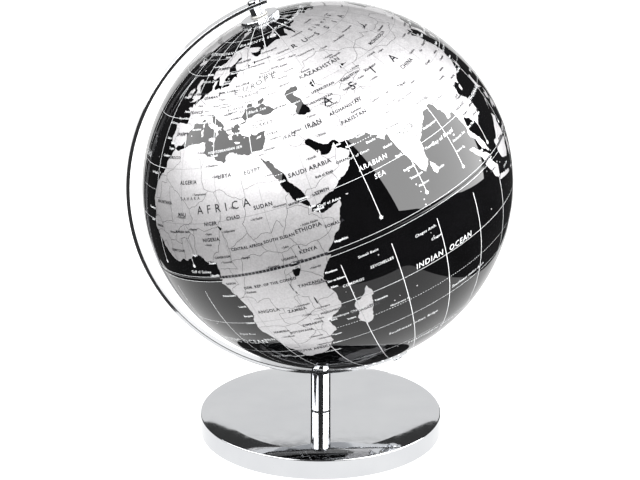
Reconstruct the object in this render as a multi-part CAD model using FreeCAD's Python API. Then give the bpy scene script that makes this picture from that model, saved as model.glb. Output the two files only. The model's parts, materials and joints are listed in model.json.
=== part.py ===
"""Desk globe: a printed ball that spins on a tilted axis inside a chrome half-ring arm.

Frame: +Z up, origin at the centre of the base's underside. The arm lies in the XZ plane,
with the north pole leaning towards -X. All sizes are in millimetres.

Parts around the spin axis are made in "axis space": its origin is the centre of the ball
and its +Z is the north pole. on_axis() carries them to their place on the globe.
"""
import FreeCAD
import Part
import math
import os

Vec = FreeCAD.Vector
CENTRE = Vec(0, 0, 0)
UP = Vec(0, 0, 1)
ACROSS = Vec(0, 1, 0)

# ---- driving dimensions -------------------------------------------------------------
# ball: two shallow moulded caps that meet at the equator
cap_radius = 125.7            # radius of curvature of each moulded half
cap_offset = 1.8              # each half's centre of curvature lies past the equator
shell_wall = 2.5
pole_hole_r = 6.0
ball_centre = Vec(4.8, 0, 179.0)
tilt_deg = 21.0               # lean of the spin axis from the vertical, towards -X
joining_ring_half_height = 6.0
joining_ring_wall = 2.0
joining_ring_gap = 0.3        # glue gap to the inside of the shells

# arm: flat strip bent to a half ring around the ball's centre
arm_inner_r = 133.2
arm_thick = 2.4
arm_width = 10.0
arm_edge_r = 0.4
arm_overhang = 8.0            # strip left past each pivot

# base and post
base_r = 84.0
base_top = 15.2               # height of the base's top face
base_crown_run = 16.0         # the top falls off over this width, up to its edge
base_crown_drop = 0.6
base_edge_r = 0.8
base_wall = 1.2
base_rim_lift = 0.8           # the pad holds the rim this far off the table
weight_side_gap = 1.3
weight_bevel_run = 18.0       # keeps the weight's top clear of the crowned cover
weight_bevel_drop = 1.8
counterbore_r = 10.0
counterbore_roof = 2.2        # iron left between the counterbore and the shell
pad_side_gap = 1.0
pad_thick = 1.8
post_r = 7.0
post_edge = 0.4
post_washer_thick = 0.5
screw_wall_low = 27.0         # the post is solid between its two screw bores
screw_wall_high = 29.0

# pivots
pin_r = 2.0
pin_reach = 12.0              # how far each pin reaches into the ball
pin_head_r = 4.2
pin_head_high = 1.9
pin_head_edge_r = 0.9
bush_running_gap = 0.05       # radial gap of each pin in its bush
bush_flange_r = 10.0
bush_flange_thick = 2.5
pole_cap_r = 13.0
pole_cap_rise = 2.3           # how far the cap stands off the shell at the pole
pole_cap_skirt = 1.0          # how far its rim reaches down over the shell
pole_cap_teeth = 72
nut_r = 4.75
nut_teeth = 24
thrust_washer_r = 5.5
thrust_washer_thick = 0.8

# small gaps
hand_gap = 0.05               # pieces of one body that are pushed together by hand
turning_gap = 0.4             # faces that turn past each other
drilled_gap = 0.1             # drilled holes round a screw or a pin
spot_face_gap = 0.3

# screws (M6 and its washers)
m6_r = 3.0
m6_hex_across = 10.0
m6_head_high = 4.0
m6_bolt_length = 16.0
m6_flat_washer_r = 6.2
m6_flat_washer_thick = 1.6
m6_lock_washer_r = 5.9
m6_lock_washer_thick = 1.6
lock_washer_split = 0.8
pan_head_r = 6.0
pan_head_high = 2.8
pan_head_edge_r = 1.2
pan_screw_length = 16.0
socket_corner_r = 2.3
socket_floor = 1.0            # metal left under the hexagon socket

# ---- worked out from them -----------------------------------------------------------
arm_outer_r = arm_inner_r + arm_thick
pole_r = cap_radius - cap_offset
cap_top = pole_r + pole_cap_rise
thrust_washer_low = cap_top + turning_gap
nut_low = thrust_washer_low + thrust_washer_thick
nut_high = math.sqrt(arm_inner_r ** 2 - nut_r ** 2)   # its corners meet the curved strip
pin_inner_end = pole_r - pin_reach
m6_clear_r = m6_r + drilled_gap
post_low = base_top + post_washer_thick
weight_top = base_top - base_wall
weight_r = base_r - base_wall - weight_side_gap
counterbore_top = weight_top - counterbore_roof
flat_washer_low = counterbore_top - m6_flat_washer_thick
bolt_head_top = flat_washer_low - m6_lock_washer_thick


def arm_surface_z(radius, x):
    """Height of the arm's surface of that radius, below the ball, at x."""
    return ball_centre.z - math.sqrt(radius ** 2 - (x - ball_centre.x) ** 2)


arm_screw_seat = arm_surface_z(arm_inner_r, pan_head_r)


# ---- helpers ------------------------------------------------------------------------
def disc(radius, low, high):
    return Part.makeCylinder(radius, high - low, Vec(0, 0, low), UP)


def ring(outer, inner, low, high):
    return disc(outer, low, high).cut(disc(inner, low - 1, high + 1))


def edges_at(shape, height):
    """The edges whose middle lies at that height."""
    return [edge for edge in shape.Edges if abs(edge.CenterOfMass.z - height) < 0.01]


def rounded_disc(radius, low, high, edge_r):
    """Disc with a rounded upper edge."""
    body = disc(radius, low, high)
    return body.makeFillet(edge_r, edges_at(body, high))


def revolved(points):
    """Solid of revolution about Z from (radius, height) corners."""
    corners = [Vec(r, 0, z) for r, z in points]
    face = Part.Face(Part.makePolygon(corners + corners[:1]))
    return face.revolve(CENTRE, UP, 360)


def prism(corners, low, high):
    """Upright prism over (x, y) corners."""
    outline = [Vec(x, y, low) for x, y in corners]
    face = Part.Face(Part.makePolygon(outline + outline[:1]))
    return face.extrude(Vec(0, 0, high - low))


def polar_corners(count, radii):
    """Corners around a circle that run through the given radii in turn."""
    total = count * len(radii)
    corners = []
    for i in range(total):
        angle = 2 * math.pi * i / total
        radius = radii[i % len(radii)]
        corners.append((radius * math.cos(angle), radius * math.sin(angle)))
    return corners


def knurled(teeth, outer, depth, low, high, edge):
    """Disc with V-shaped straight knurling and chamfered ends."""
    body = prism(polar_corners(teeth, (outer, outer - depth)), low, high)
    envelope = revolved([(0, low), (outer - edge, low), (outer, low + edge),
                         (outer, high - edge), (outer - edge, high), (0, high)])
    return body.common(envelope)


def cap_sphere(gap):
    """Ball of the northern half's curvature, grown by gap."""
    return Part.makeSphere(cap_radius + gap, Vec(0, 0, -cap_offset))


def on_axis(shape, south=False):
    """Carry a shape from axis space to its place; south flips it to the other pole."""
    placed = shape.copy()
    if south:
        placed.rotate(CENTRE, ACROSS, 180)
    placed.rotate(CENTRE, ACROSS, -tilt_deg)
    placed.translate(ball_centre)
    return placed


# ---- the ball -----------------------------------------------------------------------
def hemisphere():
    shell = cap_sphere(0).cut(cap_sphere(-shell_wall))
    half = shell.common(disc(cap_radius, 0, cap_radius))
    return half.cut(disc(pole_hole_r, 0, cap_radius))


def joining_ring():
    """Strip glued inside both halves behind the seam."""
    outer = cap_radius - shell_wall - joining_ring_gap
    return ring(outer, outer - joining_ring_wall, -joining_ring_half_height, joining_ring_half_height)


def pole_cap():
    """Knurled ring nut that clamps the shell against the bush's flange."""
    body = knurled(pole_cap_teeth, pole_cap_r, 0.3, pole_r - pole_cap_skirt, cap_top, 0.5)
    return body.cut(cap_sphere(hand_gap)).cut(disc(pole_hole_r, 0, cap_top + 1))


def bush():
    """Flanged nylon bearing: its nose stands in the pole cap, its flange inside the shell."""
    shell_inside = pole_r - shell_wall
    flange = disc(bush_flange_r, shell_inside - bush_flange_thick, shell_inside)
    flange = flange.common(cap_sphere(-shell_wall - hand_gap))
    nose = disc(pole_hole_r - hand_gap, pin_inner_end + 2, cap_top)
    bore = disc(pin_r + bush_running_gap, 0, cap_top + 1)
    return nose.fuse(flange).removeSplitter().cut(bore)


# ---- pivots on the arm --------------------------------------------------------------
def pivot_pin():
    """Round-headed pin, put in from outside the arm."""
    shank = disc(pin_r, pin_inner_end, arm_outer_r)
    head = rounded_disc(pin_head_r, arm_outer_r, arm_outer_r + pin_head_high, pin_head_edge_r)
    return shank.fuse(head).removeSplitter()


def pivot_nut():
    """Knurled nut that draws the pin's head down on the strip."""
    body = knurled(nut_teeth, nut_r, 0.35, nut_low, nut_high, 0.4)
    return body.cut(disc(pin_r + hand_gap, nut_low - 1, nut_high + 1))


def thrust_washer():
    return ring(thrust_washer_r, pin_r + hand_gap, thrust_washer_low, nut_low)


# ---- arm and post -------------------------------------------------------------------
def arm_strip():
    """The bare strip: a rectangle carried round the ball from pole to pole and a bit past."""
    corners = [Vec(arm_inner_r, -arm_width / 2, 0), Vec(arm_outer_r, -arm_width / 2, 0),
               Vec(arm_outer_r, arm_width / 2, 0), Vec(arm_inner_r, arm_width / 2, 0)]
    section = Part.Face(Part.makePolygon(corners + corners[:1]))
    reach = math.degrees(arm_overhang / arm_inner_r)
    # the section starts on +X; turning about -Y by 90 + tilt carries it to the north pole
    start = 90 + tilt_deg - reach
    section.rotate(CENTRE, ACROSS, -start)
    strip = section.revolve(CENTRE, ACROSS, -(180 + 2 * reach))
    long_edges = [edge for edge in strip.Edges if edge.Length > arm_inner_r]
    strip = strip.makeFillet(arm_edge_r, long_edges)
    strip.translate(ball_centre)
    return strip


def arm():
    pivot_hole = disc(pin_r + drilled_gap, arm_inner_r - 5, arm_outer_r + 5)
    screw_hole = disc(m6_clear_r, 0, arm_screw_seat + 10)
    spot_face = disc(pan_head_r + spot_face_gap, arm_screw_seat, arm_screw_seat + 5)
    strip = arm_strip().cut(on_axis(pivot_hole)).cut(on_axis(pivot_hole, south=True))
    return strip.cut(screw_hole).cut(spot_face)


def arm_screw():
    """Pan-head screw that holds the arm down on the post, with a hexagon socket."""
    head_top = arm_screw_seat + pan_head_high
    head = rounded_disc(pan_head_r, arm_screw_seat, head_top, pan_head_edge_r)
    shank = disc(m6_r, arm_screw_seat - pan_screw_length, arm_screw_seat)
    socket = prism(polar_corners(6, (socket_corner_r,)), arm_screw_seat + socket_floor, head_top + 1)
    return head.fuse(shank).removeSplitter().cut(socket)


def post():
    """Round post, coped at the top to the curve of the arm."""
    body = disc(post_r, post_low, arm_surface_z(arm_outer_r, -post_r) + 2)
    body = body.makeChamfer(post_edge, edges_at(body, post_low))
    cope = Part.makeCylinder(arm_outer_r + 0.02, 40, ball_centre - Vec(0, 20, 0), ACROSS)
    top_bore = disc(m6_r + hand_gap, screw_wall_high, arm_screw_seat)
    bottom_bore = disc(m6_r + hand_gap, base_top, screw_wall_low)
    return body.cut(cope).cut(top_bore).cut(bottom_bore)


def post_washer():
    return ring(post_r - 0.3, m6_clear_r, base_top, post_low)


# ---- base ---------------------------------------------------------------------------
def crowned_disc(radius, low, high):
    """Disc whose top is flat in the middle and falls off in a shallow arc to its edge."""
    start = Vec(radius - base_crown_run, 0, high)
    edge = Vec(radius, 0, high - base_crown_drop)
    arc_r = (base_crown_run ** 2 + base_crown_drop ** 2) / (2 * base_crown_drop)
    half_angle = math.asin(base_crown_run / arc_r) / 2
    middle = start + Vec(arc_r * math.sin(half_angle), 0, -arc_r * (1 - math.cos(half_angle)))
    crown = Part.Arc(start, middle, edge).toShape()
    rest = Part.makePolygon([edge, Vec(radius, 0, low), Vec(0, 0, low), Vec(0, 0, high), start])
    face = Part.Face(Part.Wire([crown] + rest.Edges))
    return face.revolve(CENTRE, UP, 360)


def base_shell():
    """Pressed cover, open underneath."""
    outer = crowned_disc(base_r, base_rim_lift, base_top)
    outer = outer.makeFillet(base_edge_r, edges_at(outer, base_top - base_crown_drop))
    inner = crowned_disc(base_r - base_wall, base_rim_lift - 1, weight_top)
    return outer.cut(inner).cut(disc(m6_clear_r, 0, base_top + 1))


def base_weight():
    """Cast ballast disc under the shell, counterbored for the bolt."""
    body = revolved([(0, pad_thick), (weight_r, pad_thick), (weight_r, weight_top - weight_bevel_drop),
                     (weight_r - weight_bevel_run, weight_top), (0, weight_top)])
    return body.cut(disc(m6_clear_r, 0, base_top)).cut(disc(counterbore_r, 0, counterbore_top))


def base_pad():
    return disc(base_r - base_wall - pad_side_gap, 0, pad_thick)


def base_bolt():
    """Hexagon bolt up through the weight and the shell into the post."""
    corner_r = m6_hex_across / math.sqrt(3)
    low = bolt_head_top - m6_head_high
    hexagon = prism(polar_corners(6, (corner_r,)), low, bolt_head_top)
    rounding = revolved([(0, low), (m6_hex_across / 2, low), (corner_r, low + 0.5),
                         (corner_r, bolt_head_top), (0, bolt_head_top)])
    shank = disc(m6_r, bolt_head_top, bolt_head_top + m6_bolt_length)
    return hexagon.common(rounding).fuse(shank)


def base_lock_washer():
    """Split spring washer, drawn flat as it is when tightened."""
    body = ring(m6_lock_washer_r, m6_clear_r, bolt_head_top, flat_washer_low)
    slit = Part.makeBox(m6_lock_washer_r + 1, lock_washer_split, m6_lock_washer_thick + 2,
                        Vec(0, -lock_washer_split / 2, bolt_head_top - 1))
    slit.rotate(CENTRE, UP, 25)
    return body.cut(slit)


def base_flat_washer():
    return ring(m6_flat_washer_r, m6_clear_r, flat_washer_low, counterbore_top)


# ---- all the pieces -----------------------------------------------------------------
def make_nodes():
    nodes = {
        "base_shell": base_shell(),
        "base_weight": base_weight(),
        "base_pad": base_pad(),
        "base_bolt": base_bolt(),
        "base_lock_washer": base_lock_washer(),
        "base_flat_washer": base_flat_washer(),
        "post_washer": post_washer(),
        "post": post(),
        "arm": arm(),
        "arm_screw": arm_screw(),
        "joining_ring": on_axis(joining_ring()),
    }
    at_each_pole = {
        "hemisphere": hemisphere(),
        "pole_cap": pole_cap(),
        "bush": bush(),
        "pivot_pin": pivot_pin(),
        "pivot_nut": pivot_nut(),
        "thrust_washer": thrust_washer(),
    }
    for name, shape in at_each_pole.items():
        nodes["north_" + name] = on_axis(shape)
        nodes["south_" + name] = on_axis(shape, south=True)
    return nodes


def main():
    os.makedirs("parts", exist_ok=True)
    for name, shape in make_nodes().items():
        shape.exportStep("parts/" + name + ".step")


main()
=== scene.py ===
"""Looks of the desk globe: a black map ball with silver land, on a chrome half ring and foot."""
import bpy
import json
import numpy as np
import random
from math import asin, atan2, cos, degrees, hypot, pi, radians, sin, sqrt
from mathutils import Matrix, Vector, geometry
from mathutils.bvhtree import BVHTree


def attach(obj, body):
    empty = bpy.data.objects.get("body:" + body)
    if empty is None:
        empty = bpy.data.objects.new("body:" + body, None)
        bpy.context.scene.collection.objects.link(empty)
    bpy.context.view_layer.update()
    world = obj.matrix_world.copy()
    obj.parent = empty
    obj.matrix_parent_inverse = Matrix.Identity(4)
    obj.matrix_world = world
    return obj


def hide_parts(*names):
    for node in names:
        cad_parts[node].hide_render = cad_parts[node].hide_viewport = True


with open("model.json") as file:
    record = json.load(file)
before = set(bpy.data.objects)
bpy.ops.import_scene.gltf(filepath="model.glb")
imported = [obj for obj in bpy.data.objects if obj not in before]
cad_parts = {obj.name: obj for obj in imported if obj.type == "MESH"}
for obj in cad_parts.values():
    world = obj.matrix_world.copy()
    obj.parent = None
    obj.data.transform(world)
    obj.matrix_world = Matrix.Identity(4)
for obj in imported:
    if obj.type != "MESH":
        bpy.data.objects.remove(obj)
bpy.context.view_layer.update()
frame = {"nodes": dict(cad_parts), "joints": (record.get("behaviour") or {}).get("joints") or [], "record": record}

# ---- driving values, in metres and degrees -----------------------------------------------
CAMERA_TURN = 6.93            # the camera stands this far left of the object's front
CAMERA_DROP = 19.01           # and looks down by this much
CAMERA_DISTANCE = 1.3752
CAMERA_LENS = 114.65          # in mm, on a sensor this many mm wide
SENSOR_WIDTH = 36
AIM = Vector((-0.0018, -0.0114, 0.1440))

# the stage, which turns with the camera: x to its right, y away from it
TO_CAMERA = Matrix.Rotation(radians(-CAMERA_TURN), 3, "Z")
FLOOR_REACH = 6.0
FLOOR_LEVEL = -0.0004         # the floor lies this far under the foot
FLOOR_SHADE = 0.8
FLOOR_GLOW = 0.9
SWEEP_LEVEL = -0.0002         # and the white paper just above the floor
SWEEP_LEFT = -0.24
SWEEP_RIGHT = 0.255
SWEEP_FRONT = -0.26
SWEEP_CORNER = 0.035          # radius of its two front corners, in arcs of so many degrees a step
SWEEP_ARC_STEP = 15
SWEEP_FLARE = 0.35            # from here back it widens to the backdrop
SWEEP_GLOW = 1.15
BACKDROP_LEFT = -0.72
BACKDROP_RIGHT = 0.50
BACKDROP_FAR = 1.25
BACKDROP_STEP = 0.36          # the backdrop is brighter below this height
BACKDROP_TOP = 0.62
BACKDROP_LOW_GLOW = 1.2
BACKDROP_GLOW = 0.86
PANEL_DISTANCE = 1.3          # the soft lights stand this far from the ball's middle
RIGHT_PANEL = ((40, 1), (105, -3), (110, 45), (12, 46))
RIGHT_PANEL_GLOW = 7.5
LEFT_PANEL = ((-105, 12), (-28, 12), (-34, 75), (-105, 75))
LEFT_PANEL_GLOW = 5.0
ROOM_GLOW = 0.05              # the dark room that the gloss reflects
BEHIND_GLOW = 1.05            # the white that the camera sees behind the object

# the ball
CAP_RADIUS = 0.1257           # each half of the ball is a shallow cap of this radius
CAP_OFFSET = 0.0018           # its centre lies this far past the equator
SHELL_WALL = 0.0025
SHELL_HOLE = 0.006            # radius of the hole at each pole
SEAM_ROUND = 0.00035          # the moulded halves have slightly rounded rims
SEAM_STEPS = 6
SHELL_STEPS = 110             # steps from the rim to the pole
SHELL_AROUND = 288            # and steps around the ball
SHELL_SHARP = 30              # edges that turn by more than this stay sharp
STAND_SHARP = 28              # and so do the stand's
JOINT = next(j for j in frame["joints"] if j["name"] == "globe_spin")
AXIS = Vector(JOINT["axis"]).normalized()
CENTRE = Vector(JOINT["pos_m"])
FRONT = Vector((0, -1, 0))
EAST = FRONT.cross(-AXIS)
NORTH_HALF = 1
SOUTH_HALF = -1
HALVES = (NORTH_HALF, SOUTH_HALF)

# how the printed map lies on the ball
FRONT_LONGITUDE = 49.96
TURN_STRETCH = 0.046          # the map is a little wide near the front
EQUATOR_SHIFT = 0.8           # each half's equator line lies this far from the seam
LATITUDE_STRETCH = {NORTH_HALF: 0.11, SOUTH_HALF: 0.07}

# the grid and the other printed lines
GRID_STEP = 15
GRID_GAP = 3.2                # meridians stop this far from the equator
MERIDIAN_TOP = 84             # and at this latitude, but every third one runs on
LONG_MERIDIAN_TOP = 89
TROPIC = 23.44
POLAR_CIRCLE = 66.56
DASH = 0.40                   # the tropics and polar circles are dashed
DASH_GAP = 0.50
LINE_STEP = 0.37              # places along a grid line are about this far apart
MERIDIAN_WIDTH = 0.00042
PARALLEL_WIDTH = 0.00026
DASH_WIDTH = 0.00034
EQUATOR_WIDTH = 0.00022
LAND_GRID_WIDTH = 0.00014
BORDER_WIDTH = 0.00022
STAR_RADIUS = 0.0016          # a small star ends each northern meridian near the equator
STAR_POINTS = 12
STAR_WAIST = 0.5
EQUATOR_BAR_HIGH = 0.62       # the dark bar over land lies just north of the seam
EQUATOR_BAR_WIDTH = 0.0018
EQUATOR_RUNG = 1.2            # the bar is broken once in every rung
RUNG_PARTS = (0, 0.3, 0.6, 0.88)

# the land
MAP_SEED = 11
COAST_STEP = 0.32             # coasts are crinkled down to about this step
COAST_ROUGH = 0.13
LEAST_SHRINK = 0.05           # keeps the crinkles small near the poles
BORDER_STEP = 0.45            # borders are smoother than coasts
BORDER_ROUGH = 0.10
RIM_POINTS = 720              # points along the equator, where the land of each half ends
LAND_RINGS = 62               # rings of points from the pole to the equator
RING_DENSITY = 4.3            # points in a ring for each degree from the pole
RING_LEAST = 6
CUT_TOLERANCE = 1e-6
LAND_MARGIN = 0.0003          # a printed line this near to land counts as over it
ISLET_RADII = (0.0003, 0.0006)
ISLET_POINTS = 7

# the words
FONT_SCALE = 1.37             # font size for each unit of a name's size
SEA_SLANT = 0.2
NAME_SPACING = 1.15
SEA_BOLD = 0.00002
WIDE_NAME_BOLD = 0.00003
LAND_BOLD = 0.00010
CITY_SIZE = 0.0015
CITY_BOLD = 0.00005
CITY_DOT = 0.00032
INLAND_STEP = 0.0008          # a city's name starts this far from its dot
SHORE_STEP = 0.0010

# depth of each printed layer under the cap radius
SHELL_DEPTH = 0.00014
SEA_LINE_DEPTH = 0.00012
SEA_WORD_DEPTH = 0.00009
LAND_DEPTH = 0.00010
LAND_LINE_DEPTH = 0.00007
LAND_WORD_DEPTH = 0.00004

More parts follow.
